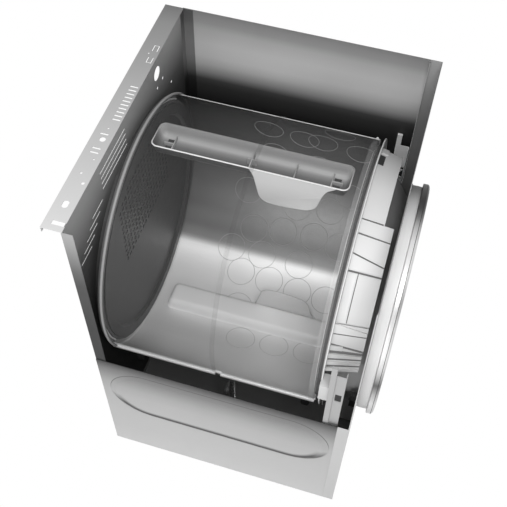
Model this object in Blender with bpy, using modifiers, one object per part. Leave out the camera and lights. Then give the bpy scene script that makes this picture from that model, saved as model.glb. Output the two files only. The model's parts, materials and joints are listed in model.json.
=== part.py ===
"""Clothes dryer shown as a cutaway: the top and the upper left side are off, so the drum can be seen.

Standalone Blender 4.5 script. Metres, +Z up, the front faces -Y. The origin is on the floor, under the
centre of the overall box. Heights given with up() are measured from the cabinet's bottom edge.
"""

import math

import bmesh
import bpy
from mathutils import Matrix, Vector

OBJECT_NAME = "clothes_dryer"

# Clearances
TOUCH = 0.0003  # between pieces that rest on each other
RUN = 0.0005  # round a turning or sliding piece

# Cabinet
CABINET_WIDTH = 0.686
CABINET_DEPTH = 0.609
CABINET_HEIGHT = 0.931
SHEET = 0.0012
FOOT_HEIGHT = 0.012
CUT_HEIGHT = 0.440  # what is left of the left side panel
RETURN_DEPTH = 0.027  # side return of the front panel
SEAM = 0.0008
EDGE_FLANGE = 0.012
REAR_RETURN = 0.024
PAN_WALL = 0.018

# Long pressed oval of both side panels
OVAL_LENGTH = 0.554
OVAL_HEIGHT = 0.204
OVAL_Y = 0.0075
OVAL_Z = 0.3065
OVAL_DEPTH = 0.005
OVAL_SLOPE = 0.014

# Rear wall and its top rail
SLIT_HEIGHT = 0.004
RAIL_OVERHANG = 0.0425
RAIL_LIP = 0.014
NOTCH_INSET = 0.021
RAIL_SLOTS = 10
RAIL_SLOT_PITCH = 0.0113
RAIL_SLOT_WIDTH = 0.004
RAIL_TAB_LINE = 0.0022

# Drum
DRUM_RADIUS = 0.3145
DRUM_WALL = 0.0015
DRUM_BEAD = 0.004
DRUM_LENGTH = 0.500
DRUM_FRONT = -0.211
DRUM_Z = 0.553
DRUM_LIP_RADIUS = DRUM_RADIUS - 0.0145
DRUM_REAR = DRUM_FRONT + DRUM_LENGTH
ROUND_STEPS = 36

# Baffles
BAFFLE_LENGTH = DRUM_LENGTH - 0.065
BAFFLE_WIDTH = 0.073
BAFFLE_TURN = 2  # degrees that both bars stand turned from upright
BAFFLE_Y = DRUM_FRONT + DRUM_LENGTH / 2 - 0.0045
BAFFLE_CORNER = 0.016
BAFFLE_BODY = 0.030
BAFFLE_TAPER = 0.012
BAFFLE_WALL = 0.0025
FIN_FRONT = BAFFLE_Y - 0.1935
FIN_X = -(BAFFLE_WIDTH / 2 - 0.0030)  # the fin hangs from the bar's left wall
FIN_THICK = 0.005
FIN_OUTLINE = [  # (distance behind the fin's front, depth below the bar's open edge)
    (0, 0.005),
    (0.0195, 0.019),
    (0.029, 0.037),
    (0.040, 0.077),
    (0.0565, 0.091),
    (0.114, 0.099),
    (0.151, 0.096),
    (0.1655, 0.083),
    (0.181, 0.022),
    (0.191, 0.005),
]

# Front bulkhead
BULKHEAD_FLANGE_Y = DRUM_FRONT - 0.0105
BULKHEAD_WALL = 0.0025
BULKHEAD_RADIUS = DRUM_RADIUS + 0.004
THROAT_BACK_RADIUS = DRUM_RADIUS - 0.0315
THROAT_FRONT_RADIUS = 0.246
THROAT_FRONT_Z = 0.495
SEAL_LIP_RADIUS = DRUM_RADIUS - 0.0245
SHOULDER_START = 58  # degrees from +X; the collar's outer wall runs from here
SHOULDER_END = 168  # to here, over the top
SHOULDER_SLOPE = 0.014  # how much lower the outer wall is at its front
SHOULDER_FRONT = -0.2925
SHOULDER_STEP = 104  # degrees; on the far side of this the wall is narrower
SHOULDER_FRONT_FAR = -0.272
RIB_THICK = 0.0040
EAR_EXTRA = 0.0005  # how far the ears stand proud of the flange on both faces
EAR_LAP = 0.0040  # how far a side ear reaches over its post
EAR_HALF = 0.030
RIB_ANGLES = (104, 111, 124, 147, 162, 167, 172, 177, 182)

# Side posts
POST_X = CABINET_WIDTH / 2 - 0.0105
POST_Y = -0.2755
POST_WIDTH = 0.034
POST_TOP = 0.690
POST_STRIP = 0.012
POST_WEB_TOP = 0.655
HOOK_Z = 0.560

# Door
DOOR_Z = 0.489
OPENING_RADIUS = 0.235
DOOR_FRAME_RADIUS = 0.272
DOOR_FRAME_BACK = -0.3090
DOOR_LIP_BACK = -0.3052
DOOR_LIP = 0.002
DOOR_FRAME_FRONT = -0.3300
TRIM_RADIUS = 0.281
HINGE_ARM_FRONT = -0.3345
TRIM_FRONT = -0.3470
WINDOW_RADIUS = 0.190
PLUG_DEPTH = 0.023
BOWL_DEPTH = 0.048
HINGE_X = 0.2925
HINGE_Y = -0.3195
HINGE_PIN_RADIUS = 0.0030
HINGE_BARREL = 0.0065
HINGE_HEIGHT = 0.100
HINGE_ARM_SHARE = 0.21  # half of the middle knuckle, as a share of the hinge's height
LATCH_ANGLE = 205
LATCH_RADIUS = 0.2610
SWITCH_ANGLE = 190
SWITCH_RADIUS = 0.2635
PLUNGER_RADIUS = 0.0030

# Rollers
ROLLER_RADIUS = 0.030
ROLLER_WIDTH = 0.020
ROLLER_SHAFT_RADIUS = 0.005
ROLLER_ANGLES = {"left": 235, "right": 305}
ROLLER_FRONT_Y = -0.180
ROLLER_REAR_Y = 0.255

# Drive
MOTOR_X = 0.120
MOTOR_Z = 0.125
MOTOR_RADIUS = 0.066
MOTOR_BACK = -0.015
MOTOR_FRONT = -0.145
SHAFT_RADIUS = 0.006
PULLEY_RADIUS = 0.012
BELT_Y = 0.024
BELT_WIDTH = 0.010
BELT_THICK = 0.0022
IDLER_X = -0.090
IDLER_Z = 0.165
IDLER_RADIUS = 0.025
ARM_LENGTH = 0.100
ARM_ANGLE = 190
ARM_PIN_RADIUS = 0.004
BLOWER_RADIUS = 0.105
BLOWER_FRONT = -0.235
BLOWER_BACK = -0.175
BLOWER_INLET = 0.055
DUCT_WALL = 0.0012
DUCT_X = -0.012
DUCT_Z = 0.071
DUCT_RADIUS = 0.050

# Lint chute and filter
CHUTE_WIDTH = 0.270
CHUTE_FRONT = -0.3020
CHUTE_BACK = -0.2354
CHUTE_LOW = 0.055
CHUTE_HIGH = 0.236
FILTER_WIDTH = 0.236
FILTER_HEIGHT = 0.200
FILTER_THICK = 0.012
FILTER_Y = -0.2690

# Rear air path
HEATER_WIDTH = 0.200
HEATER_LOW = 0.300
HEATER_HIGH = 0.705
HEATER_DEPTH = 0.028
HEATER_WALL = 0.0015
HEATER_ROWS = 7
HEATER_PITCH = 0.028
GRILLE_X = -0.030
GRILLE_LOW = 0.545
GRILLE_HIGH = 0.685
INLET_X = -0.0075
INLET_Z = 0.680
INLET_ROWS = 13
INLET_COLUMNS = 17
INLET_PITCH = 0.0165
INLET_HOLE = 0.0085
TERMINAL_X = -0.250
TERMINAL_Z = 0.500

LEFT = -CABINET_WIDTH / 2
RIGHT = CABINET_WIDTH / 2
FRONT = -CABINET_DEPTH / 2
REAR = CABINET_DEPTH / 2
PANEL_BACK = FRONT + SHEET  # inner face of the front panel
WALL_FACE = REAR - SHEET  # inner face of the rear panel
SEAM_Y = FRONT + RETURN_DEPTH


def up(height):
    """World height of something this far above the cabinet's bottom edge."""
    return FOOT_HEIGHT + height


def collection(name, parent=None):
    made = bpy.data.collections.new(name)
    (parent or bpy.context.scene.collection).children.link(made)
    return made


def clear_scene():
    for obj in list(bpy.data.objects):
        bpy.data.objects.remove(obj, do_unlink=True)


clear_scene()
PARTS = collection(OBJECT_NAME)
CUTTERS = collection("cutters")
CUTTERS.hide_render = True


def material(name, colour, roughness, metallic=0.0):
    made = bpy.data.materials.new(name)
    made.use_nodes = True
    shader = made.node_tree.nodes["Principled BSDF"]
    shader.inputs["Base Color"].default_value = (*colour, 1.0)
    shader.inputs["Roughness"].default_value = roughness
    shader.inputs["Metallic"].default_value = metallic
    return made


PAINT = material("painted_steel", (0.52, 0.52, 0.53), 0.40, 0.2)
GALVANISED = material("galvanised_steel", (0.55, 0.56, 0.57), 0.38, 0.9)
DRUM_STEEL = material("brushed_drum_steel", (0.62, 0.62, 0.63), 0.28, 1.0)
WHITE_PLASTIC = material("white_plastic", (0.80, 0.80, 0.80), 0.45)
GREY_PLASTIC = material("grey_plastic", (0.55, 0.55, 0.55), 0.50)
DARK_PLASTIC = material("dark_plastic", (0.05, 0.05, 0.05), 0.55)
CHROME = material("chrome", (0.80, 0.80, 0.80), 0.08, 1.0)
GLASS = material("window_glass", (0.75, 0.80, 0.80), 0.05)
RUBBER = material("rubber", (0.03, 0.03, 0.03), 0.80)
FELT = material("felt", (0.30, 0.28, 0.25), 0.95)
HEAT_WIRE = material("heating_wire", (0.35, 0.30, 0.28), 0.50, 1.0)
BRIGHT_STEEL = material("bright_steel", (0.65, 0.65, 0.66), 0.25, 1.0)


def add_object(name, mesh, colour, where=(0, 0, 0), group=None):
    obj = bpy.data.objects.new(name, mesh)
    obj.location = where
    (group or PARTS).objects.link(obj)
    if colour:
        mesh.materials.append(colour)
    if group is CUTTERS:
        obj.hide_render = True
        obj.display_type = "WIRE"
    return obj


def finish_mesh(bm, name, smooth=True):
    bmesh.ops.recalc_face_normals(bm, faces=bm.faces)
    mesh = bpy.data.meshes.new(name)
    bm.to_mesh(mesh)
    bm.free()
    if smooth:
        mesh.shade_smooth()
        mesh.set_sharp_from_angle(angle=math.radians(35))
    return mesh


def box_into(bm, low, high, turn=None):
    """Adds a box between two corners, turned by a matrix if one is given."""
    size = Vector(high) - Vector(low)
    centre = (Vector(high) + Vector(low)) / 2
    place = Matrix.Translation(centre) @ Matrix.Diagonal((*size, 1.0))
    bmesh.ops.create_cube(bm, size=1.0, matrix=(turn or Matrix()) @ place)


def rod_into(bm, radius, start, end, steps):
    """Adds a cylinder between two points."""
    start, end = Vector(start), Vector(end)
    along = end - start
    turn = along.to_track_quat("Z", "Y").to_matrix().to_4x4()
    place = Matrix.Translation((start + end) / 2) @ turn
    bmesh.ops.create_cone(
        bm,
        cap_ends=True,
        segments=steps,
        radius1=radius,
        radius2=radius,
        depth=along.length,
        matrix=place,
    )


def boxes(name, colour, *corners, group=None, where=(0, 0, 0)):
    bm = bmesh.new()
    for low, high in corners:
        box_into(bm, low, high)
    return add_object(name, finish_mesh(bm, name, smooth=False), colour, where, group)


def rods(name, colour, *ends, group=None, where=(0, 0, 0), steps=16):
    """One or more cylinders, each given as radius, start and end."""
    bm = bmesh.new()
    for radius, start, end in ends:
        rod_into(bm, radius, start, end, steps)
    return add_object(name, finish_mesh(bm, name), colour, where, group)


def combine(obj, *others, operation="UNION"):
    """Adds Boolean modifiers that join or cut with each of the other objects."""
    for other in others:
        step = obj.modifiers.new(other.name, "BOOLEAN")
        step.operation = operation
        step.object = other
        step.solver = "EXACT"
        step.use_self = True
    return obj


def cut(obj, *others):
    return combine(obj, *others, operation="DIFFERENCE")


def helper(maker, name, *shapes, **more):
    """A cutter, or a shape that is joined into another piece."""
    return maker(name, None, *shapes, group=CUTTERS, **more)


def clockwise(profile):
    """The profile in the order that a Screw needs: outer side first, from top to bottom."""
    area = sum(a[0] * b[1] - b[0] * a[1] for a, b in zip(profile, profile[1:] + profile[:1]))
    return profile[::-1] if area > 0 else profile


def turned(name, colour, profile, where, axis="Y", steps=ROUND_STEPS, group=None):
    """A ring or a solid of revolution. Profile points are (radius, distance along -Y or +Z)."""
    bm = bmesh.new()
    closed = min(r for r, _ in profile) > 0
    points = clockwise(list(profile)) if closed else list(profile)
    verts = [bm.verts.new((r, 0, h)) for r, h in points]
    for a, b in zip(verts, verts[1:] + (verts[:1] if closed else [])):
        bm.edges.new((a, b))
    mesh = bpy.data.meshes.new(name)
    bm.to_mesh(mesh)
    bm.free()
    obj = add_object(name, mesh, colour, where, group)
    if axis == "Y":
        obj.rotation_euler = (math.pi / 2, 0, 0)
    screw = obj.modifiers.new("turn", "SCREW")
    screw.steps = screw.render_steps = steps
    screw.use_merge_vertices = True
    screw.merge_threshold = 0.00005
    screw.use_smooth_shade = True
    return obj


def folded(name, colour, path, low, high, axis="Z", closed=False, wall=SHEET, group=None):
    """Sheet bent along a path, extruded along an axis. The path runs in mid-thickness."""
    bm = bmesh.new()
    order = {
        "Z": lambda a, b, c: (a, b, c),
        "Y": lambda a, b, c: (a, c, b),
        "X": lambda a, b, c: (c, a, b),
    }
    verts = [bm.verts.new(order[axis](a, b, low)) for a, b in path]
    pairs = list(zip(verts, verts[1:] + (verts[:1] if closed else [])))
    edges = [bm.edges.new(pair) for pair in pairs]
    made = bmesh.ops.extrude_edge_only(bm, edges=edges)["geom"]
    moved = [v for v in made if isinstance(v, bmesh.types.BMVert)]
    shift = Vector(order[axis](0, 0, high - low))
    bmesh.ops.translate(bm, verts=moved, vec=shift)
    obj = add_object(name, finish_mesh(bm, name, smooth=False), colour, group=group)
    thicken(obj, wall)
    return obj


def thicken(obj, wall, offset=0.0):
    solid = obj.modifiers.new("sheet", "SOLIDIFY")
    solid.thickness = wall
    solid.offset = offset
    solid.use_even_offset = True
    return obj


def soften(obj, width, segments=2):
    bevel = obj.modifiers.new("edges", "BEVEL")
    bevel.width = width
    bevel.segments = segments
    bevel.limit_method = "ANGLE"
    bevel.angle_limit = math.radians(40)
    return obj


def flat(radius):
    """Distance from the axis to the middle of a facet of a round piece."""
    return radius * math.cos(math.pi / ROUND_STEPS)


def round_about(angle, radius, centre_z):
    """Point (x, z) at an angle from +X round an axis that runs along Y."""
    turn = math.radians(angle)
    return radius * math.cos(turn), up(centre_z) + radius * math.sin(turn)


def stadium(length, height, steps=12):
    """Outline (a, b) of a rounded bar, anticlockwise round its centre."""
    end = (length - height) / 2
    points = []
    for side, start in ((1, -90), (-1, 90)):
        for i in range(steps + 1):
            turn = math.radians(start + 180 * i / steps)
            points.append((side * end + height / 2 * math.cos(turn), height / 2 * math.sin(turn)))
    return points


def rounded_bar(length, width, corner, steps=4):
    """Outline (a, b) of a rectangle with rounded corners, anticlockwise round its centre."""
    points = []
    for quarter, (side_a, side_b) in enumerate(((1, -1), (1, 1), (-1, 1), (-1, -1))):
        for i in range(steps + 1):
            turn = math.radians(90 * (quarter - 1) + 90 * i / steps)
            a = side_a * (length / 2 - corner) + corner * math.cos(turn)
            b = side_b * (width / 2 - corner) + corner * math.sin(turn)
            points.append((a, b))
    return points


# Cabinet -------------------------------------------------------------------------------------------


def side_panel(name, side, height):
    """Sheet with a long pressed oval that stands out, and an inward flange down its front edge."""
    outer = side * (CABINET_WIDTH - SHEET) / 2
    front, back = SEAM_Y + SEAM, REAR
    bm = bmesh.new()
    low, high = up(0), up(height)
    corners = ((front, low), (back, low), (back, high), (front, high))
    face = [bm.verts.new((outer, y, z)) for y, z in corners]
    rim = [bm.edges.new(pair) for pair in zip(face, face[1:] + face[:1])]
    loops = []
    for inset, depth in ((0, 0), (OVAL_SLOPE, OVAL_DEPTH)):
        outline = stadium(OVAL_LENGTH - 2 * inset, OVAL_HEIGHT - 2 * inset)
        verts = [bm.verts.new((outer + side * depth, OVAL_Y + a, up(OVAL_Z) + b)) for a, b in outline]
        loops.append([bm.edges.new(pair) for pair in zip(verts, verts[1:] + verts[:1])])
    bmesh.ops.triangle_fill(bm, edges=rim + loops[0], use_beauty=True)
    bmesh.ops.bridge_loops(bm, edges=loops[0] + loops[1])
    bmesh.ops.contextual_create(bm, geom=loops[1])
    made = bmesh.ops.extrude_edge_only(bm, edges=[bm.edges.get((face[0], face[3]))])["geom"]
    moved = [v for v in made if isinstance(v, bmesh.types.BMVert)]
    bmesh.ops.translate(bm, verts=moved, vec=(-side * EDGE_FLANGE, 0, 0))
    obj = add_object(name, finish_mesh(bm, name, smooth=False), PAINT)
    thicken(obj, SHEET)
    inner, wall = sorted((side * (RIGHT - EDGE_FLANGE - 0.005), side * (RIGHT - SHEET - TOUCH)))
    foot = helper(
        boxes,
        f"{name}_pan_clearance",
        ((inner, front - 0.01, low - 0.01), (wall, front + 0.01, up(PAN_WALL + 2 * SHEET))),
    )
    return cut(obj, foot)


def cabinet_panels():
    side_panel("left_side_panel", -1, CUT_HEIGHT)
    side_panel("right_side_panel", 1, CABINET_HEIGHT)

    half = SHEET / 2
    path = [
        (LEFT + half, SEAM_Y),
        (LEFT + half, FRONT + half),
        (RIGHT - half, FRONT + half),
        (RIGHT - half, SEAM_Y),
    ]
    front = folded("front_panel", PAINT, path, up(0), up(CABINET_HEIGHT))
    strike_x, strike_z = round_about(LATCH_ANGLE, LATCH_RADIUS, DOOR_Z)
    plunger_x, plunger_z = round_about(SWITCH_ANGLE, SWITCH_RADIUS, DOOR_Z)
    out, back = FRONT - 0.01, PANEL_BACK + 0.01
    opening = helper(
        rods,
        "door_opening",
        (OPENING_RADIUS, (0, out, up(DOOR_Z)), (0, back, up(DOOR_Z))),
        steps=ROUND_STEPS,
    )
    holes = helper(
        rods,
        "panel_holes",
        (0.0070, (strike_x, out, strike_z), (strike_x, back, strike_z)),
        (PLUNGER_RADIUS + 0.001, (plunger_x, out, plunger_z), (plunger_x, back, plunger_z)),
    )
    upper = helper(
        boxes,
        "left_return_cut",
        (
            (LEFT - 0.01, FRONT + 2 * SHEET, up(CUT_HEIGHT)),
            (LEFT + 0.01, SEAM_Y + 0.01, up(CABINET_HEIGHT) + 0.01),
        ),
    )
    cut(front, opening, holes, upper)


def rear_wall():
    """Rear panel with its side returns, louvre slits, air hole and exhaust hole, and the rail on top."""
    side = RIGHT - SHEET - TOUCH - SHEET / 2
    back = REAR - SHEET / 2
    path = [(-side, back - REAR_RETURN), (-side, back), (side, back), (side, back - REAR_RETURN)]
    top = up(CABINET_HEIGHT) - SHEET - TOUCH
    panel = folded("rear_panel", GALVANISED, path, up(0), top)
    near, far = WALL_FACE - 0.01, REAR + 0.01
    slit_rows = [(-0.164, 0.134, 0.852 + 0.0155 * i) for i in range(4)]
    slit_rows += [(-0.226 - 0.0195 * i, 0.054, 0.8285 - 0.0157 * i) for i in range(5)]
    slits = helper(
        boxes,
        "rear_slits",
        *(((x, near, up(z)), (x + length, far, up(z + SLIT_HEIGHT))) for x, length, z in slit_rows),
    )
    circles = (
        (0.0175, 0.160, 0.888),
        (0.0040, 0.189, 0.849),
        (0.0040, 0.155, 0.848),
        (0.0040, 0.237, 0.795),
    )
    round_holes = helper(
        rods,
        "rear_round_holes",
        *((r, (x, near, up(z)), (x, far, up(z))) for r, x, z in circles),
        (DUCT_RADIUS + 0.0012, (DUCT_X, near, up(DUCT_Z)), (DUCT_X, far, up(DUCT_Z))),
    )
    inlet = helper(
        boxes,
        "rear_inlet",
        ((GRILLE_X - 0.085, near, up(GRILLE_LOW)), (GRILLE_X + 0.085, far, up(GRILLE_HIGH))),
    )
    cut(panel, slits, round_holes, inlet)

    rail_back = REAR + RAIL_OVERHANG
    top = up(CABINET_HEIGHT) - SHEET / 2
    section = [
        (REAR - SHEET - 0.0012, top),
        (rail_back - SHEET / 2, top),
        (rail_back - SHEET / 2, top - RAIL_LIP),
    ]
    rail = folded("rear_top_rail", GALVANISED, section, LEFT + SHEET + TOUCH, RIGHT - SHEET - TOUCH, axis="X")
    above, below = top + 0.01, top - 0.01
    slots = [(0.0615 - RAIL_SLOT_PITCH * i, 0.002, RAIL_SLOT_WIDTH, 0.018) for i in range(RAIL_SLOTS)]
    slots += [(x - RAIL_SLOT_WIDTH / 2, 0.010, RAIL_SLOT_WIDTH, 0.018) for x in (-0.083, -0.124, -0.136)]
    for x, length in ((0.143, 0.019), (0.182, 0.020)):
        slots += [(x, y, length, RAIL_TAB_LINE) for y in (0.0035, 0.0143)]
    slots += [(x, 0.005, RAIL_TAB_LINE, 0.010) for x in (0.1432, 0.1998)]
    rail_slots = helper(
        boxes,
        "rail_slots",
        *(((x, REAR + y, below), (x + dx, REAR + y + dy, above)) for x, y, dx, dy in slots),
    )
    cut(rail, rail_slots)
    dots = (
        (0.0020, -0.066, 0.017),
        (0.0020, 0.173, 0.020),
        (0.0065, -0.098, 0.0165),
        (0.0020, -0.154, 0.012),
        (0.0025, -0.194, 0.022),
        (0.0035, -0.218, 0.008),
        (0.0065, -0.273, 0.019),
        (0.0065, -0.279, 0.019),
    )
    rail_holes = [
        helper(rods, f"rail_hole_{i}", (r, (x, REAR + y, below), (x, REAR + y, above)), steps=16)
        for i, (r, x, y) in enumerate(dots)
    ]
    cut(rail, *rail_holes)
    notch = helper(
        boxes,
        "rail_notch",
        (
            (LEFT + NOTCH_INSET - 0.006, REAR - 0.01, below),
            (LEFT + NOTCH_INSET + 0.004, REAR + 0.026, above),
        ),
    )
    cut(rail, notch)


def base():
    """Tray that carries the cabinet, with a hole for the thread of each foot."""
    inner = RIGHT - 2 * SHEET - 2 * TOUCH - SHEET / 2
    back = WALL_FACE - TOUCH - SHEET / 2
    front = PANEL_BACK + TOUCH + SHEET / 2
    low = up(0) + SHEET / 2
    bm = bmesh.new()
    corners = ((-inner, front), (inner, front), (inner, back), (-inner, back))
    face = bm.faces.new([bm.verts.new((x, y, low)) for x, y in corners])
    made = bmesh.ops.extrude_edge_only(bm, edges=list(face.edges))["geom"]
    moved = [v for v in made if isinstance(v, bmesh.types.BMVert)]
    bmesh.ops.translate(bm, verts=moved, vec=(0, 0, PAN_WALL))
    pan = add_object("base_pan", finish_mesh(bm, "base_pan", smooth=False), GALVANISED)
    thicken(pan, SHEET)
    threads = helper(
        rods,
        "foot_threads",
        *((0.0045, (x, y, up(-0.01)), (x, y, up(0.01))) for _, x, y in foot_places()),
    )
    cut(pan, threads)


def foot_places():
    x, y = RIGHT - 0.045, REAR - 0.045
    return (
        ("front_left", -x, -y),
        ("front_right", x, -y),
        ("rear_left", -x, y),
        ("rear_right", x, y),
    )


def feet():
    """Round pad with a threaded stud that passes up through the base pan."""
    for name, x, y in foot_places():
        shoulder = FOOT_HEIGHT - TOUCH
        profile = [
            (0, 0.026),
            (0.004, 0.026),
            (0.004, shoulder),
            (0.016, shoulder),
            (0.018, 0.004),
            (0.018, 0.0),
            (0, 0.0),
        ]
        turned(f"foot_{name}", RUBBER, profile, (x, y, 0), axis="Z", steps=20)


def posts():
    """Stamped side posts: a web, a narrow strip that stands higher, and a window for the bulkhead's hook."""
    low = up(SHEET + TOUCH)
    back = POST_Y + POST_WIDTH
    for name, side in (("left_post", -1), ("right_post", 1)):

        def slab(depth_in, depth_out, y0, y1, z0, z1):
            """Corners of a box between two depths, each measured outwards from the post's inner face."""
            x0, x1 = sorted((side * (POST_X + depth_in), side * (POST_X + depth_out)))
            return (x0, y0, z0), (x1, y1, z1)

        web = boxes(name, GALVANISED, slab(0, 0.002, POST_Y, back, low, up(POST_WEB_TOP)))
        strips = helper(
            boxes,
            f"{name}_strips",
            slab(0, 0.006, back - POST_STRIP, back, low, up(POST_TOP)),
            slab(-0.011, 0, POST_Y, POST_Y + 0.002, low, up(POST_WEB_TOP)),
        )
        combine(web, strips)
        window = helper(
            boxes,
            f"{name}_window",
            slab(-0.004, 0.0035, POST_Y + 0.004, POST_Y + 0.018, up(HOOK_Z - 0.016), up(HOOK_Z + 0.016)),
        )
        cut(web, window)


# Drum ----------------------------------------------------------------------------------------------


def drum():
    front, rear = -DRUM_FRONT, -DRUM_REAR
    outer, inner, bead = DRUM_RADIUS, DRUM_RADIUS - DRUM_WALL, DRUM_RADIUS + DRUM_BEAD
    profile = [
        (DRUM_LIP_RADIUS, front),
        (outer, front),
        (bead, front - 0.004),
        (bead, front - 0.009),
        (outer, front - 0.014),
        (outer, rear + 0.014),
        (bead, rear + 0.009),
        (bead, rear + 0.004),
        (outer, rear),
        (DRUM_LIP_RADIUS, rear),
        (DRUM_LIP_RADIUS, rear + DRUM_WALL),
        (inner, rear + DRUM_WALL),
        (inner, front - DRUM_WALL),
        (DRUM_LIP_RADIUS, front - DRUM_WALL),
    ]
    turned("drum_shell", DRUM_STEEL, profile, (0, 0, up(DRUM_Z)))


def baffle(name, turn):
    """Hollow bar open towards the drum wall, with a fin that hangs inwards. Modelled hanging from the top."""
    inner = DRUM_RADIUS - DRUM_WALL
    seat = math.sqrt(flat(inner) ** 2 - (BAFFLE_WIDTH / 2) ** 2) - 3 * TOUCH
    bm = bmesh.new()
    rings = []
    for inset, depth in ((0, 0), (BAFFLE_TAPER, BAFFLE_BODY)):
        corner = BAFFLE_CORNER - inset / 2
        outline = rounded_bar(BAFFLE_LENGTH - 2 * inset, BAFFLE_WIDTH - 2 * inset, corner)
        verts = [bm.verts.new((b, BAFFLE_Y + a, seat - depth)) for a, b in outline]
        rings.append([bm.edges.new(pair) for pair in zip(verts, verts[1:] + verts[:1])])
    bmesh.ops.bridge_loops(bm, edges=rings[0] + rings[1])
    bmesh.ops.contextual_create(bm, geom=rings[1])
    body = add_object(name, finish_mesh(bm, name, smooth=False), GREY_PLASTIC, (0, 0, up(DRUM_Z)))
    body.rotation_euler = (0, math.radians(turn), 0)
    thicken(body, BAFFLE_WALL, offset=-1.0)

    bm = bmesh.new()
    side = FIN_X - FIN_THICK / 2
    corners = [bm.verts.new((side, FIN_FRONT + back, seat - depth)) for back, depth in FIN_OUTLINE]
    face = bm.faces.new(corners)
    made = bmesh.ops.extrude_face_region(bm, geom=[face])["geom"]
    moved = [v for v in made if isinstance(v, bmesh.types.BMVert)]
    bmesh.ops.translate(bm, verts=moved, vec=(FIN_THICK, 0, 0))
    mesh = finish_mesh(bm, "fin", smooth=False)
    fin = add_object(f"{name}_fin", mesh, None, (0, 0, up(DRUM_Z)), CUTTERS)
    fin.rotation_euler = body.rotation_euler
    combine(body, fin)

    floor = seat - BAFFLE_BODY
    ends = [BAFFLE_Y + side * (BAFFLE_LENGTH / 2 - 0.030) for side in (-1, 1)]
    holes = helper(
        boxes,
        f"{name}_holes",
        *(
            ((x - 0.0065, y - 0.008, floor - 0.01), (x + 0.0065, y + 0.008, floor + 0.01))
            for y in ends
            for x in (-0.0115, 0.0115)
        ),
        where=(0, 0, up(DRUM_Z)),
    )
    holes.rotation_euler = body.rotation_euler
    cut(body, holes)
    boss = helper(
        boxes,
        f"{name}_boss",
        ((-0.0225, BAFFLE_Y - 0.001, floor + 0.001), (0.0225, BAFFLE_Y + 0.001, floor + 0.016)),
        ((-0.001, BAFFLE_Y - 0.011, floor + 0.001), (0.001, BAFFLE_Y + 0.011, floor + 0.0165)),
        where=(0, 0, up(DRUM_Z)),
    )
    boss.rotation_euler = body.rotation_euler
    boss_far = helper(
        boxes,
        f"{name}_rib",
        ((-0.0215, BAFFLE_Y - 0.098, floor + 0.001), (0.0215, BAFFLE_Y - 0.096, floor + 0.015)),
        where=(0, 0, up(DRUM_Z)),
    )
    boss_far.rotation_euler = body.rotation_euler
    combine(body, boss, boss_far)


# Front bulkhead ------------------------------------------------------------------------------------


def rib_into(bm, angle):
    """Gusset between the flange and the throat, highest at the flange."""
    turn = Matrix.Translation((0, 0, up(DRUM_Z))) @ Matrix.Rotation(-math.radians(angle), 4, "Y")
    back, front = BULKHEAD_FLANGE_Y - BULKHEAD_WALL / 2, PANEL_BACK + 0.004
    base_radius = THROAT_BACK_RADIUS - 0.0035
    half = RIB_THICK / 2
    corners = [
        (base_radius, back),
        (BULKHEAD_RADIUS - 0.003, back),
        (BULKHEAD_RADIUS - 0.010, front),
        (base_radius - 0.020, front),
    ]
    verts = [bm.verts.new(turn @ Vector((r, y, -half))) for r, y in corners]
    face = bm.faces.new(verts)
    made = bmesh.ops.extrude_face_region(bm, geom=[face])["geom"]
    moved = [v for v in made if isinstance(v, bmesh.types.BMVert)]
    offset = turn.to_3x3() @ Vector((0, 0, 2 * half))
    bmesh.ops.translate(bm, verts=moved, vec=offset)


def shoulder():
    """Outer wall of the collar, over its top and left side only."""
    top = SEAL_LIP_RADIUS + SHOULDER_SLOPE
    back = BULKHEAD_FLANGE_Y - BULKHEAD_WALL / 2
    bm = bmesh.new()
    rings = []
    steps = 22
    for i in range(steps + 1):
        angle = SHOULDER_START + (SHOULDER_END - SHOULDER_START) * i / steps
        front = SHOULDER_FRONT if angle > SHOULDER_STEP else SHOULDER_FRONT_FAR
        drop = SHOULDER_SLOPE * (back - front) / (back - SHOULDER_FRONT)
        section = [
            (top, back),
            (top - drop, front),
            (top - drop - BULKHEAD_WALL, front),
            (top - BULKHEAD_WALL, back),
        ]
        ring = []
        for radius, y in section:
            x, z = round_about(angle, radius, DRUM_Z)
            ring.append(bm.verts.new((x, y, z)))
        rings.append(ring)
    for near, far in zip(rings, rings[1:]):
        for i in range(4):
            j = (i + 1) % 4
            bm.faces.new((near[i], near[j], far[j], far[i]))
    bm.faces.new(rings[0])
    bm.faces.new(rings[-1])
    return add_object("bulkhead_shoulder", finish_mesh(bm, "shoulder"), None, group=CUTTERS)


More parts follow.
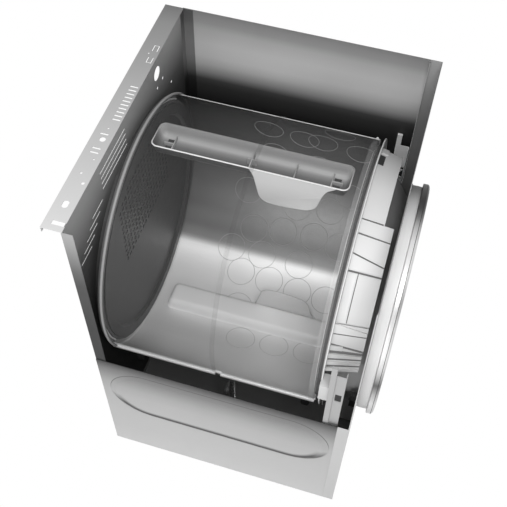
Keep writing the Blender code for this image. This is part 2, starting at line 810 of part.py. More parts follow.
def front_bulkhead():
    """Moulded ring that carries the drum's front end and leads the laundry in from the door."""
    back = -BULKHEAD_FLANGE_Y
    face = back + BULKHEAD_WALL
    flange_inner = THROAT_BACK_RADIUS - 0.004
    profile = [
        (flange_inner, face),
        (BULKHEAD_RADIUS, face),
        (BULKHEAD_RADIUS, back),
        (SEAL_LIP_RADIUS + BULKHEAD_WALL, back),
        (SEAL_LIP_RADIUS + BULKHEAD_WALL, back - 0.0165),
        (SEAL_LIP_RADIUS, back - 0.0165),
        (SEAL_LIP_RADIUS, back),
        (flange_inner, back),
    ]
    ring = turned("front_bulkhead", WHITE_PLASTIC, profile, (0, 0, up(DRUM_Z)))

    bm = bmesh.new()
    loops = []
    for radius, y, z in (
        (THROAT_BACK_RADIUS, BULKHEAD_FLANGE_Y - 0.001, DRUM_Z),
        (THROAT_FRONT_RADIUS, PANEL_BACK + TOUCH + BULKHEAD_WALL / 2, THROAT_FRONT_Z),
    ):
        verts = []
        for i in range(ROUND_STEPS):
            x, height = round_about(360 * i / ROUND_STEPS, radius, z)
            verts.append(bm.verts.new((x, y, height)))
        loops.append([bm.edges.new(pair) for pair in zip(verts, verts[1:] + verts[:1])])
    bmesh.ops.bridge_loops(bm, edges=loops[0] + loops[1])
    throat = add_object("throat", finish_mesh(bm, "throat"), None, group=CUTTERS)
    thicken(throat, BULKHEAD_WALL, offset=-1.0)
    combine(ring, throat)

    combine(ring, shoulder())
    for i, angle in enumerate(RIB_ANGLES):
        bm = bmesh.new()
        rib_into(bm, angle)
        rib = add_object(f"bulkhead_rib_{i}", finish_mesh(bm, "rib", smooth=False), None, group=CUTTERS)
        combine(ring, rib)

    ear_front, ear_back = BULKHEAD_FLANGE_Y - BULKHEAD_WALL - EAR_EXTRA, BULKHEAD_FLANGE_Y + EAR_EXTRA
    for side in (-1, 1):
        inner, outer = sorted((side * (BULKHEAD_RADIUS - 0.020), side * (POST_X - TOUCH)))
        ear = helper(
            boxes,
            f"bulkhead_ear_{'left' if side < 0 else 'right'}",
            (
                (inner, POST_Y + POST_WIDTH - EAR_LAP, up(HOOK_Z - EAR_HALF)),
                (outer, ear_back, up(HOOK_Z + EAR_HALF)),
            ),
        )
        combine(ring, ear)
    for side, angle in ROLLER_ANGLES.items():
        reach = DRUM_RADIUS + TOUCH + ROLLER_RADIUS
        for i, radius in enumerate((BULKHEAD_RADIUS - 0.012, (BULKHEAD_RADIUS + reach) / 2, reach)):
            x, z = round_about(angle, radius, DRUM_Z)
            ear = helper(
                rods,
                f"bulkhead_roller_ear_{side}_{i}",
                (0.018, (x, ear_front, z), (x, ear_back, z)),
            )
            combine(ring, ear)
    slot = helper(
        boxes,
        "filter_slot",
        (
            (-CHUTE_WIDTH / 2 - 0.002, PANEL_BACK - 0.001, up(0.20)),
            (CHUTE_WIDTH / 2 + 0.002, CHUTE_BACK + 0.002, up(0.32)),
        ),
    )
    cut(ring, slot)


def seals():
    """Felt rings between the drum's lips and the two bulkheads."""
    inner = SEAL_LIP_RADIUS + BULKHEAD_WALL + TOUCH
    outer = DRUM_LIP_RADIUS - RUN
    for name, y0, y1 in (
        ("front_felt_seal", DRUM_FRONT - 0.006, DRUM_FRONT + 0.004),
        ("rear_felt_seal", DRUM_REAR - 0.005, DRUM_REAR + 0.003),
    ):
        profile = [(inner, -y0), (outer, -y0), (outer, -y1), (inner, -y1)]
        turned(name, FELT, profile, (0, 0, up(DRUM_Z)))


def rear_bulkhead():
    """Pressed disc on the rear panel that closes the drum's back, with the hot-air inlet."""
    back = -(WALL_FACE - TOUCH)
    face = -(DRUM_REAR - 0.001)
    inner, outer = SEAL_LIP_RADIUS, SEAL_LIP_RADIUS + BULKHEAD_WALL
    profile = [
        (0, face),
        (inner - 0.028, face),
        (inner - 0.022, face + 0.008),
        (outer, face + 0.008),
        (outer, back),
        (inner, back),
        (inner, face - 0.0015 + 0.008),
        (inner - 0.023, face - 0.0015 + 0.008),
        (inner - 0.029, face - 0.0015),
        (0, face - 0.0015),
    ]
    disc = turned("rear_bulkhead", GALVANISED, profile, (0, 0, up(DRUM_Z)))
    holes = []
    half = INLET_HOLE / 2
    for row in range(INLET_ROWS):
        z = up(INLET_Z) + INLET_PITCH * (row - (INLET_ROWS - 1) / 2)
        for column in range(INLET_COLUMNS):
            x = INLET_X + INLET_PITCH * (column - (INLET_COLUMNS - 1) / 2)
            low = (x - half, DRUM_REAR - 0.03, z - half)
            holes.append((low, (x + half, DRUM_REAR + 0.01, z + half)))
    cut(disc, helper(boxes, "inlet_holes", *holes))


# Rollers -------------------------------------------------------------------------------------------


def roller_centre(angle):
    return round_about(angle, DRUM_RADIUS + TOUCH + ROLLER_RADIUS, DRUM_Z)


def rollers():
    bore = ROLLER_SHAFT_RADIUS + RUN
    half = ROLLER_WIDTH / 2
    for side, angle in ROLLER_ANGLES.items():
        x, z = roller_centre(angle)
        for end, y, seat in (
            ("front", ROLLER_FRONT_Y, BULKHEAD_FLANGE_Y + EAR_EXTRA + TOUCH),
            ("rear", ROLLER_REAR_Y, WALL_FACE - TOUCH),
        ):
            wheel = [
                (bore, half),
                (ROLLER_RADIUS - 0.004, half),
                (ROLLER_RADIUS, half - 0.003),
                (ROLLER_RADIUS, -half + 0.003),
                (ROLLER_RADIUS - 0.004, -half),
                (bore, -half),
            ]
            turned(f"{end}_{side}_roller", RUBBER, wheel, (x, y, z), steps=20)
            away = 1 if seat > y else -1
            stem, tip = seat - y, -away * (half + RUN)
            shaft = [
                (0, stem),
                (ROLLER_SHAFT_RADIUS, stem),
                (ROLLER_SHAFT_RADIUS, -tip + away * 0.003),
                (0.009, -tip + away * 0.003),
                (0.009, -tip),
                (ROLLER_SHAFT_RADIUS, -tip),
                (ROLLER_SHAFT_RADIUS, tip),
                (0.008, tip),
                (0.008, tip - away * 0.003),
                (0, tip - away * 0.003),
            ]
            along = [(r, -h) for r, h in shaft]
            if away > 0:
                along = along[::-1]
            turned(f"{end}_{side}_roller_shaft", BRIGHT_STEEL, along, (x, y, z), steps=16)


# Drive ---------------------------------------------------------------------------------------------


def motor():
    mid = -(MOTOR_FRONT + MOTOR_BACK) / 2
    half = (MOTOR_BACK - MOTOR_FRONT) / 2
    bore = SHAFT_RADIUS + RUN
    profile = [
        (bore, half + 0.006),
        (0.018, half + 0.006),
        (0.018, half),
        (MOTOR_RADIUS - 0.014, half),
        (MOTOR_RADIUS, half - 0.010),
        (MOTOR_RADIUS, -half + 0.010),
        (MOTOR_RADIUS - 0.014, -half),
        (0.018, -half),
        (0.018, -half - 0.006),
        (bore, -half - 0.006),
    ]
    turned("motor", GREY_PLASTIC, profile, (MOTOR_X, -mid, up(MOTOR_Z)), steps=28)

    floor = up(SHEET) + TOUCH
    saddle = MOTOR_RADIUS + TOUCH
    frame = boxes(
        "motor_bracket",
        GALVANISED,
        ((MOTOR_X - 0.075, MOTOR_FRONT + 0.034, floor), (MOTOR_X + 0.075, MOTOR_BACK - 0.034, floor + 0.002)),
    )
    walls = helper(
        boxes,
        "motor_bracket_walls",
        *(
            ((MOTOR_X - 0.060, y - 0.0015, floor + 0.001), (MOTOR_X + 0.060, y + 0.0015, up(MOTOR_Z - 0.010)))
            for y in (MOTOR_FRONT + 0.040, MOTOR_BACK - 0.040)
        ),
    )
    seat = helper(
        rods,
        "motor_seat",
        (saddle, (MOTOR_X, MOTOR_FRONT - 0.05, up(MOTOR_Z)), (MOTOR_X, MOTOR_BACK + 0.05, up(MOTOR_Z))),
        steps=28,
    )
    combine(frame, walls)
    cut(frame, seat)

    start, end = (MOTOR_X, BLOWER_FRONT + 0.010, up(MOTOR_Z)), (MOTOR_X, BELT_Y + 0.018, up(MOTOR_Z))
    rods("motor_shaft", BRIGHT_STEEL, (SHAFT_RADIUS, start, end))
    bore = SHAFT_RADIUS + TOUCH
    half = BELT_WIDTH / 2 + 0.001
    profile = [
        (bore, half + 0.003),
        (PULLEY_RADIUS + 0.004, half + 0.003),
        (PULLEY_RADIUS + 0.004, half),
        (PULLEY_RADIUS, half),
        (PULLEY_RADIUS, -half),
        (PULLEY_RADIUS + 0.004, -half),
        (PULLEY_RADIUS + 0.004, -half - 0.003),
        (bore, -half - 0.003),
    ]
    turned("motor_pulley", BRIGHT_STEEL, profile, (MOTOR_X, BELT_Y, up(MOTOR_Z)), steps=20)


def belt_circles():
    return (
        (0.0, up(DRUM_Z), DRUM_RADIUS + TOUCH),
        (MOTOR_X, up(MOTOR_Z), PULLEY_RADIUS + TOUCH),
        (IDLER_X, up(IDLER_Z), IDLER_RADIUS + TOUCH),
    )


def drum_belt():
    """The belt is the hull of the three circles it runs round."""
    steps = 60
    path = []
    for i in range(steps):
        turn = 2 * math.pi * i / steps
        nx, nz = math.cos(turn), math.sin(turn)
        x, z, radius = max(belt_circles(), key=lambda c: c[0] * nx + c[1] * nz + c[2])
        grown = (radius + BELT_THICK / 2) / math.cos(math.pi / steps)
        path.append((x + grown * nx, z + grown * nz))
    folded(
        "drum_belt",
        RUBBER,
        path,
        BELT_Y - BELT_WIDTH / 2,
        BELT_Y + BELT_WIDTH / 2,
        axis="Y",
        closed=True,
        wall=BELT_THICK,
    )


def arm_pivot():
    turn = math.radians(ARM_ANGLE)
    return IDLER_X + ARM_LENGTH * math.cos(turn), up(IDLER_Z) + ARM_LENGTH * math.sin(turn)


def idler():
    pin_x, pin_z = arm_pivot()
    idler_z = up(IDLER_Z)
    half = BELT_WIDTH / 2 + 0.001
    bore = ARM_PIN_RADIUS + RUN
    profile = [
        (bore, half + 0.002),
        (IDLER_RADIUS + 0.003, half + 0.002),
        (IDLER_RADIUS + 0.003, half),
        (IDLER_RADIUS, half),
        (IDLER_RADIUS, -half),
        (IDLER_RADIUS + 0.003, -half),
        (IDLER_RADIUS + 0.003, -half - 0.002),
        (bore, -half - 0.002),
    ]
    turned("idler_pulley", DARK_PLASTIC, profile, (IDLER_X, BELT_Y, idler_z), steps=24)

    plate_y = BELT_Y + half + 0.002 + RUN
    along = Vector((IDLER_X - pin_x, 0, idler_z - pin_z)).normalized()
    arm = rods(
        "idler_arm",
        GALVANISED,
        (0.011, (pin_x, plate_y, pin_z), (pin_x, plate_y + 0.003, pin_z)),
    )
    turn = Matrix.Translation((pin_x, 0, pin_z)) @ Matrix.Rotation(-math.atan2(along.z, along.x), 4, "Y")
    bm = bmesh.new()
    box_into(bm, (0, plate_y, -0.008), (ARM_LENGTH, plate_y + 0.003, 0.008), turn)
    bar = add_object("idler_arm_bar", finish_mesh(bm, "bar", smooth=False), None, group=CUTTERS)
    head_back = BELT_Y - half - 0.002 - RUN
    head_front = head_back - 0.002
    plate_back = plate_y + 0.003
    stub = helper(
        rods,
        "idler_arm_stub",
        (ARM_PIN_RADIUS, (IDLER_X, head_front, idler_z), (IDLER_X, plate_back, idler_z)),
    )
    head = helper(
        rods,
        "idler_arm_stub_head",
        (0.008, (IDLER_X, head_front, idler_z), (IDLER_X, head_back, idler_z)),
        (0.010, (IDLER_X, plate_y, idler_z), (IDLER_X, plate_back, idler_z)),
    )
    combine(arm, bar, stub, head)
    hole = helper(
        rods,
        "idler_arm_hole",
        (bore, (pin_x, plate_y - 0.01, pin_z), (pin_x, plate_y + 0.013, pin_z)),
    )
    eye_x, eye_z = spring_place(), spring_top() + 0.006
    eye = helper(
        rods,
        "idler_arm_eye",
        (0.0025, (eye_x, plate_y - 0.01, eye_z), (eye_x, plate_y + 0.013, eye_z)),
        steps=12,
    )
    cut(arm, hole, eye)

    floor = up(SHEET) + TOUCH
    stand_y = plate_y + 0.003 + RUN
    stand = boxes(
        "idler_bracket",
        GALVANISED,
        ((pin_x - 0.014, stand_y, floor), (pin_x + 0.014, stand_y + 0.003, pin_z + 0.014)),
    )
    foot = helper(
        boxes,
        "idler_bracket_foot",
        ((pin_x - 0.014, stand_y + 0.001, floor), (pin_x + 0.014, stand_y + 0.040, floor + 0.003)),
    )
    pin = helper(
        rods,
        "idler_bracket_pin",
        (ARM_PIN_RADIUS, (pin_x, plate_y - RUN - 0.001, pin_z), (pin_x, stand_y + 0.002, pin_z)),
        (0.008, (pin_x, plate_y - RUN - 0.002, pin_z), (pin_x, plate_y - RUN, pin_z)),
    )
    combine(stand, foot, pin)


def spring_place():
    return arm_pivot()[0] + 0.045


def spring_top():
    return arm_pivot()[1] - 0.012


def idler_spring():
    """Close-wound tension spring between the arm and the base pan."""
    coil_radius, wire = 0.006, 0.0011
    low, high = up(SHEET) + TOUCH + wire, spring_top()
    turns, per_turn = 7, 8
    points = []
    for i in range(turns * per_turn + 1):
        turn = 2 * math.pi * i / per_turn
        height = low + (high - low) * i / (turns * per_turn)
        points.append((coil_radius * math.cos(turn), coil_radius * math.sin(turn), height))
    wire_curve("idler_spring", BRIGHT_STEEL, points, wire, (spring_place(), spring_y(), 0), resolution=0)


def spring_y():
    return BELT_Y + BELT_WIDTH / 2 + 0.001 + 0.002 + RUN + 0.0015


def wire_curve(name, colour, points, radius, where, resolution=2):
    curve = bpy.data.curves.new(name, "CURVE")
    curve.dimensions = "3D"
    curve.bevel_depth = radius
    curve.bevel_resolution = resolution
    curve.use_fill_caps = True
    spline = curve.splines.new("POLY")
    spline.points.add(len(points) - 1)
    for point, place in zip(spline.points, points):
        point.co = (*place, 1.0)
    curve.materials.append(colour)
    obj = bpy.data.objects.new(name, curve)
    obj.location = where
    PARTS.objects.link(obj)
    return obj


# Air path ------------------------------------------------------------------------------------------


def blower():
    x, z = MOTOR_X, up(MOTOR_Z)
    wall = 0.0025
    low, high = up(DUCT_Z - 0.052), up(DUCT_Z + 0.052)
    outlet_end = DUCT_X - 0.054
    housing = rods(
        "blower_housing",
        WHITE_PLASTIC,
        (BLOWER_RADIUS, (x, BLOWER_FRONT, z), (x, BLOWER_BACK, z)),
        steps=36,
    )
    box_outer = helper(boxes, "blower_outlet", ((outlet_end, BLOWER_FRONT, low), (x, BLOWER_BACK, high)))
    combine(housing, box_outer)
    hollow = helper(
        rods,
        "blower_hollow",
        (BLOWER_RADIUS - wall, (x, BLOWER_FRONT + wall, z), (x, BLOWER_BACK - wall, z)),
        steps=36,
    )
    outlet_hollow = helper(
        boxes,
        "blower_outlet_hollow",
        ((outlet_end + wall, BLOWER_FRONT + wall, low + wall), (x, BLOWER_BACK - wall, high - wall)),
    )
    inlet = helper(
        rods,
        "blower_inlet",
        (BLOWER_INLET, (x, BLOWER_FRONT - 0.01, z), (x, BLOWER_FRONT + 0.01, z)),
        steps=36,
    )
    shaft_hole = helper(
        rods,
        "blower_shaft_hole",
        (SHAFT_RADIUS + 0.002, (x, BLOWER_BACK - 0.01, z), (x, BLOWER_BACK + 0.01, z)),
    )
    exit_hole = helper(
        rods,
        "blower_exit",
        (
            DUCT_RADIUS - 0.001,
            (DUCT_X, BLOWER_BACK - 0.01, up(DUCT_Z)),
            (DUCT_X, BLOWER_BACK + 0.01, up(DUCT_Z)),
        ),
        steps=36,
    )
    cut(housing, hollow, outlet_hollow, inlet, shaft_hole, exit_hole)

    radius = BLOWER_RADIUS - 0.022
    back = BLOWER_BACK - wall - 0.004
    front = BLOWER_FRONT + wall + 0.006
    hub_bore = SHAFT_RADIUS + TOUCH
    profile = [
        (hub_bore, -(back - 0.020)),
        (0.014, -(back - 0.020)),
        (0.014, -(back - 0.002)),
        (radius, -(back - 0.002)),
        (radius, -back),
        (hub_bore, -back),
    ]
    wheel = turned("blower_wheel", DARK_PLASTIC, profile, (x, 0, z), steps=28)
    blades = 12
    for i in range(blades):
        turn = Matrix.Translation((x, 0, z)) @ Matrix.Rotation(2 * math.pi * i / blades, 4, "Y")
        lean = turn @ Matrix.Translation((0.060, 0, 0)) @ Matrix.Rotation(math.radians(30), 4, "Y")
        bm = bmesh.new()
        box_into(bm, (0, front, -0.0009), (0.019, back - 0.001, 0.0009), lean)
        blade = add_object(f"blower_blade_{i}", finish_mesh(bm, "blade", smooth=False), None, group=CUTTERS)
        combine(wheel, blade)

    length = REAR + RAIL_OVERHANG - 0.0005 - (BLOWER_BACK + TOUCH)
    tube = [
        (DUCT_RADIUS - DUCT_WALL, length / 2),
        (DUCT_RADIUS, length / 2),
        (DUCT_RADIUS, -length / 2),
        (DUCT_RADIUS - DUCT_WALL, -length / 2),
    ]
    middle = BLOWER_BACK + TOUCH + length / 2
    turned("exhaust_duct", GALVANISED, tube, (DUCT_X, middle, up(DUCT_Z)), steps=36)


def lint_path():
    wall = 0.0020
    half = CHUTE_WIDTH / 2
    chute = boxes(
        "lint_chute",
        WHITE_PLASTIC,
        ((-half, CHUTE_FRONT, up(CHUTE_LOW)), (half, CHUTE_BACK, up(CHUTE_HIGH))),
    )
    hollow = helper(
        boxes,
        "lint_chute_hollow",
        (
            (-half + wall, CHUTE_FRONT + wall, up(CHUTE_LOW) + wall),
            (half - wall, CHUTE_BACK - wall, up(CHUTE_HIGH) + 0.01),
        ),
    )
    outlet_x = MOTOR_X - 0.045
    blower_hole = helper(
        rods,
        "lint_chute_outlet",
        (
            BLOWER_INLET,
            (outlet_x, CHUTE_BACK - 0.01, up(MOTOR_Z)),
            (outlet_x, CHUTE_BACK + 0.01, up(MOTOR_Z)),
        ),
        steps=36,
    )
    cut(chute, hollow, blower_hole)
    rails = []
    for side in (-1, 1):
        x0, x1 = sorted((side * (half - wall / 2), side * (FILTER_WIDTH / 2 - 0.006)))
        for way in (-1, 1):
            y = FILTER_Y + way * (FILTER_THICK / 2 + RUN + 0.001)
            low = (x0, y - 0.001, up(CHUTE_LOW) + wall / 2)
            rails.append((low, (x1, y + 0.001, up(CHUTE_HIGH) - 0.004)))
    guides = helper(boxes, "lint_chute_guides", *rails)
    combine(chute, guides)

    low = up(CHUTE_LOW) + wall + TOUCH
    width, thick = FILTER_WIDTH / 2, FILTER_THICK / 2
    screen = boxes(
        "lint_filter",
        GREY_PLASTIC,
        ((-width, FILTER_Y - thick, low), (width, FILTER_Y + thick, low + FILTER_HEIGHT)),
    )
    pitch = (2 * width - 0.010) / 3
    openings = []
    for i in range(3):
        start = -width + pitch * i
        corner = (start + 0.010, FILTER_Y - 0.02, low + 0.010)
        openings.append((corner, (start + pitch, FILTER_Y + 0.02, low + FILTER_HEIGHT - 0.030)))
    cut(screen, helper(boxes, "lint_filter_windows", *openings))
    mesh = helper(
        boxes,
        "lint_filter_mesh",
        (
            (-width + 0.004, FILTER_Y - 0.0006, low + 0.004),
            (width - 0.004, FILTER_Y + 0.0006, low + FILTER_HEIGHT - 0.020),
        ),
    )
    combine(screen, mesh)


def heater():
    """Duct on the outside of the rear panel that lifts the heated air to the drum's inlet."""
    x0, x1 = GRILLE_X - HEATER_WIDTH / 2, GRILLE_X + HEATER_WIDTH / 2
    y0, y1 = REAR + TOUCH, REAR + TOUCH + HEATER_DEPTH
    z0, z1 = up(HEATER_LOW), up(HEATER_HIGH)
    wall = HEATER_WALL
    case = boxes("heater_housing", GALVANISED, ((x0, y0, z0), (x1, y1, z1)))
    hollow = helper(
        boxes,
        "heater_hollow",
        ((x0 + wall, y0 - 0.01, z0 + wall), (x1 - wall, y1 - wall, z1 - wall)),
    )
    vents = []
    for i in range(5):
        start = x0 + 0.020 + 0.034 * i
        vents.append(((start, y0 + 0.007, z0 - 0.01), (start + 0.022, y1 - 0.007, z0 + 0.01)))
    vents = helper(boxes, "heater_vents", *vents)
    cut(case, hollow, vents)
    flange = helper(
        boxes,
        "heater_flanges",
        ((x0 - 0.014, y0, z0 + 0.02), (x0 + 0.0008, y0 + wall, z1 - 0.02)),
        ((x1 - 0.0008, y0, z0 + 0.02), (x1 + 0.014, y0 + wall, z1 - 0.02)),
    )
    combine(case, flange)

    mid = (y0 + y1) / 2
    base_z = z0 + wall + TOUCH
    left, right = x0 + 0.026, x1 - 0.026
    points = [(left - 0.010, mid, base_z)]
    for i in range(HEATER_ROWS):
        height = z0 + 0.060 + HEATER_PITCH * i
        ends = [(left, mid, height), (right, mid, height)]
        points += ends if i % 2 == 0 else ends[::-1]
    top = z0 + 0.060 + HEATER_PITCH * (HEATER_ROWS - 1)
    points += [(right + 0.010, mid, top), (right + 0.010, mid, base_z)]
    wire_curve("heater_element", HEAT_WIRE, points, 0.0016, (0, 0, 0))

    side, height = x0 - TOUCH, z1 - 0.08
    stat = rods(
        "high_limit_thermostat",
        DARK_PLASTIC,
        (0.0110, (side, mid, height), (side - 0.010, mid, height)),
        steps=20,
    )
    tabs = []
    for y in (mid - 0.0035, mid + 0.0025):
        low = (side - 0.020, y, height - 0.0035)
        tabs.append((low, (side - 0.009, y + 0.001, height + 0.0035)))
    combine(stat, helper(boxes, "thermostat_tabs", *tabs))


def terminals():
    """Supply terminals on the rear panel, under a screwed cover."""
    x, y, z = TERMINAL_X, REAR + TOUCH, up(TERMINAL_Z)
    block = boxes(
        "terminal_block",
        DARK_PLASTIC,
        ((x - 0.030, y, z - 0.020), (x + 0.030, y + 0.012, z + 0.020)),
    )
    studs = [(0.003, (x + d, y + 0.010, z), (x + d, y + 0.020, z)) for d in (-0.018, 0.0, 0.018)]
    combine(block, helper(rods, "terminal_studs", *studs, steps=12))
    wall = 0.0015
    half, low, high, depth = 0.042, z - 0.040, z + 0.035, 0.030
    cover = boxes("terminal_cover", GALVANISED, ((x - half, y, low), (x + half, y + depth, high)))
    soften(cover, 0.003)
    hollow = helper(
        boxes,
        "terminal_hollow",
        ((x - half + wall, y - 0.01, low + wall), (x + half - wall, y + depth - wall, high - wall)),
    )
    entry = helper(
        rods,
        "terminal_entry",
        (0.011, (x, y + depth / 2, low - 0.01), (x, y + depth / 2, low + 0.01)),
        steps=20,
    )
    cut(cover, hollow, entry)


# Door ----------------------------------------------------------------------------------------------


def door():
    centre = (0, 0, up(DOOR_Z))
    back, front, lip = -DOOR_FRAME_BACK, -DOOR_FRAME_FRONT, -DOOR_LIP_BACK
    plug = OPENING_RADIUS - 0.013
    frame = [
        (WINDOW_RADIUS + 0.012, front),
        (DOOR_FRAME_RADIUS - 0.002, front),
        (DOOR_FRAME_RADIUS, front - 0.002),
        (DOOR_FRAME_RADIUS, lip),
        (DOOR_FRAME_RADIUS - DOOR_LIP, lip),
        (DOOR_FRAME_RADIUS - DOOR_LIP, back),
        (plug, back),
        (plug - 0.006, back - PLUG_DEPTH),
        (WINDOW_RADIUS + 0.006, back - PLUG_DEPTH),
        (WINDOW_RADIUS + 0.006, back - PLUG_DEPTH + 0.003),
        (plug - 0.010, back - PLUG_DEPTH + 0.003),
        (plug - 0.006, back + 0.004),
        (WINDOW_RADIUS + 0.012, back + 0.004),
    ]
    turned("door_frame", WHITE_PLASTIC, frame, centre)

    outer_face = -TRIM_FRONT
    trim = [
        (WINDOW_RADIUS, outer_face - 0.003),
        (WINDOW_RADIUS + 0.004, outer_face),
        (TRIM_RADIUS - 0.008, outer_face),
        (TRIM_RADIUS - 0.002, outer_face - 0.0025),
        (TRIM_RADIUS, outer_face - 0.007),
        (TRIM_RADIUS - 0.001, front + TOUCH),
        (WINDOW_RADIUS + 0.012, front + TOUCH),
        (WINDOW_RADIUS + 0.012, outer_face - 0.006),
        (WINDOW_RADIUS, outer_face - 0.006),
    ]
    ring = turned("door_trim_ring", CHROME, trim, centre)
    pocket_half = HINGE_HEIGHT * HINGE_ARM_SHARE - RUN + TOUCH
    pocket = helper(
        boxes,
        "hinge_arm_pocket",
        (
            (TRIM_RADIUS - 0.012 - TOUCH, HINGE_ARM_FRONT, up(DOOR_Z) - pocket_half),
            (TRIM_RADIUS + 0.01, DOOR_FRAME_FRONT + 0.001, up(DOOR_Z) + pocket_half),
        ),
    )
    cut(ring, pocket)

    glass = 0.004
    pane = outer_face - 0.006 - TOUCH
    rim = WINDOW_RADIUS + 0.0115
    floor = pane - BOWL_DEPTH
    bowl = [
        (0, floor + glass),
        (0.120, floor + glass + 0.002),
        (0.155, floor + glass + 0.010),
        (0.178, pane - 0.012),
        (0.184, pane),
        (rim, pane),
        (rim, pane - glass),
        (0.188, pane - glass),
        (0.181, pane - glass - 0.012),
        (0.158, floor + 0.009),
        (0.122, floor + 0.001),
        (0, floor),
    ]
    turned("door_window", GLASS, bowl, centre)

    seal_back = -(FRONT - TOUCH)
    seal = [
        (plug + 0.004, back - TOUCH),
        (plug + 0.026, back - TOUCH),
        (plug + 0.024, seal_back),
        (plug + 0.016, seal_back),
    ]
    turned("door_seal", RUBBER, seal, centre)


def hinge():
    x, y, z = HINGE_X, HINGE_Y, up(DOOR_Z)
    third = HINGE_HEIGHT * HINGE_ARM_SHARE
    leaf_y = FRONT - TOUCH
    leaf = boxes(
        "hinge_leaf",
        BRIGHT_STEEL,
        ((x - 0.008, leaf_y - 0.0025, z - HINGE_HEIGHT / 2), (x + 0.030, leaf_y, z + HINGE_HEIGHT / 2)),
    )
    knuckles = ((-HINGE_HEIGHT / 2, -third - RUN), (third + RUN, HINGE_HEIGHT / 2))
    for i, (low, high) in enumerate(knuckles):
        knuckle = helper(
            rods,
            f"hinge_leaf_knuckle_{i}",
            (HINGE_BARREL, (x, y, z + low), (x, y, z + high)),
        )
        web = helper(
            boxes,
            f"hinge_leaf_web_{i}",
            ((x - 0.003, y, z + low), (x + 0.003, leaf_y - 0.001, z + high)),
        )
        combine(leaf, knuckle, web)
    bore = helper(rods, "hinge_leaf_bore", (HINGE_PIN_RADIUS + TOUCH, (x, y, z - 0.08), (x, y, z + 0.08)))
    cut(leaf, bore)

    pin = rods(
        "hinge_pin",
        BRIGHT_STEEL,
        (HINGE_PIN_RADIUS, (x, y, z - HINGE_HEIGHT / 2 - 0.002), (x, y, z + HINGE_HEIGHT / 2 + 0.002)),
    )
    top = z + HINGE_HEIGHT / 2
    head = helper(rods, "hinge_pin_head", (0.0055, (x, y, top + TOUCH), (x, y, top + 0.0025)))
    combine(pin, head)

    arm_back, arm_front = DOOR_FRAME_FRONT - TOUCH, HINGE_ARM_FRONT + TOUCH
    low, high = z - third + RUN, z + third - RUN
    arm = boxes(
        "hinge_arm",
        BRIGHT_STEEL,
        ((TRIM_RADIUS - 0.012, arm_front, low), (x + 0.0035, arm_back, high)),
    )
    arm_web = helper(boxes, "hinge_arm_web", ((x - 0.004, arm_front, low), (x + 0.0035, y, high)))
    barrel = helper(rods, "hinge_arm_barrel", (HINGE_BARREL, (x, y, low), (x, y, high)))
    combine(arm, arm_web, barrel)
    arm_bore = helper(rods, "hinge_arm_bore", (HINGE_PIN_RADIUS + RUN, (x, y, z - 0.08), (x, y, z + 0.08)))
    cut(arm, arm_bore)


def latch():
    """Strike on the door with its catch in the cabinet, and the switch that the closed door presses."""
    x, z = round_about(LATCH_ANGLE, LATCH_RADIUS, DOOR_Z)
    start, end = DOOR_FRAME_BACK + TOUCH, PANEL_BACK + 0.0105
    strike = rods("door_strike", BRIGHT_STEEL, (0.0040, (x, start, z), (x, end - 0.0005, z)), steps=20)
    tip = helper(rods, "door_strike_tip", (0.0055, (x, end - 0.0035, z), (x, end, z)), steps=20)
    plate = helper(rods, "door_strike_plate", (0.0070, (x, start, z), (x, start + 0.0015, z)), steps=20)
    combine(strike, tip, plate)
    back = PANEL_BACK + TOUCH
    catch = boxes(
        "strike_catch",
        DARK_PLASTIC,
        ((x - 0.0105, back, z - 0.014), (x + 0.0105, back + 0.016, z + 0.014)),
    )
    cut(catch, helper(rods, "strike_catch_socket", (0.0070, (x, back - 0.01, z), (x, back + 0.0135, z))))

    x, z = round_about(SWITCH_ANGLE, SWITCH_RADIUS, DOOR_Z)
    body = boxes(
        "door_switch",
        DARK_PLASTIC,
        ((x - 0.0070, back, z - 0.010), (x + 0.0055, back + 0.018, z + 0.010)),
    )
    well_end = back + 0.015
    cut(body, helper(rods, "door_switch_well", (PLUNGER_RADIUS + RUN, (x, back - 0.01, z), (x, well_end, z))))
    rods(
        "door_switch_plunger",
        WHITE_PLASTIC,
        (PLUNGER_RADIUS, (x, DOOR_FRAME_BACK + TOUCH, z), (x, back + 0.010, z)),
        steps=20,
    )


def drum_lamp():
    """Small lens on the rear bulkhead, at the top of the drum."""
    x, z = round_about(58, 0.215, DRUM_Z)
    face = DRUM_REAR - 0.001
    profile = [(0, 0.008), (0.006, 0.0075), (0.010, 0.006), (0.012, 0.003), (0.0125, TOUCH), (0, TOUCH)]
    turned("drum_lamp_lens", GLASS, profile, (x, face, z), steps=24)


# Joint axes ----------------------------------------------------------------------------------------


def joint_axis(name, place, *pieces):
    """Empty on a joint's axis that carries the pieces that move with it."""
    axis = bpy.data.objects.new(name, None)
    axis.location = place
    PARTS.objects.link(axis)
    for piece in pieces:
        obj = bpy.data.objects[piece]
        obj.parent = axis
        obj.matrix_parent_inverse = Matrix.Translation(-Vector(place))


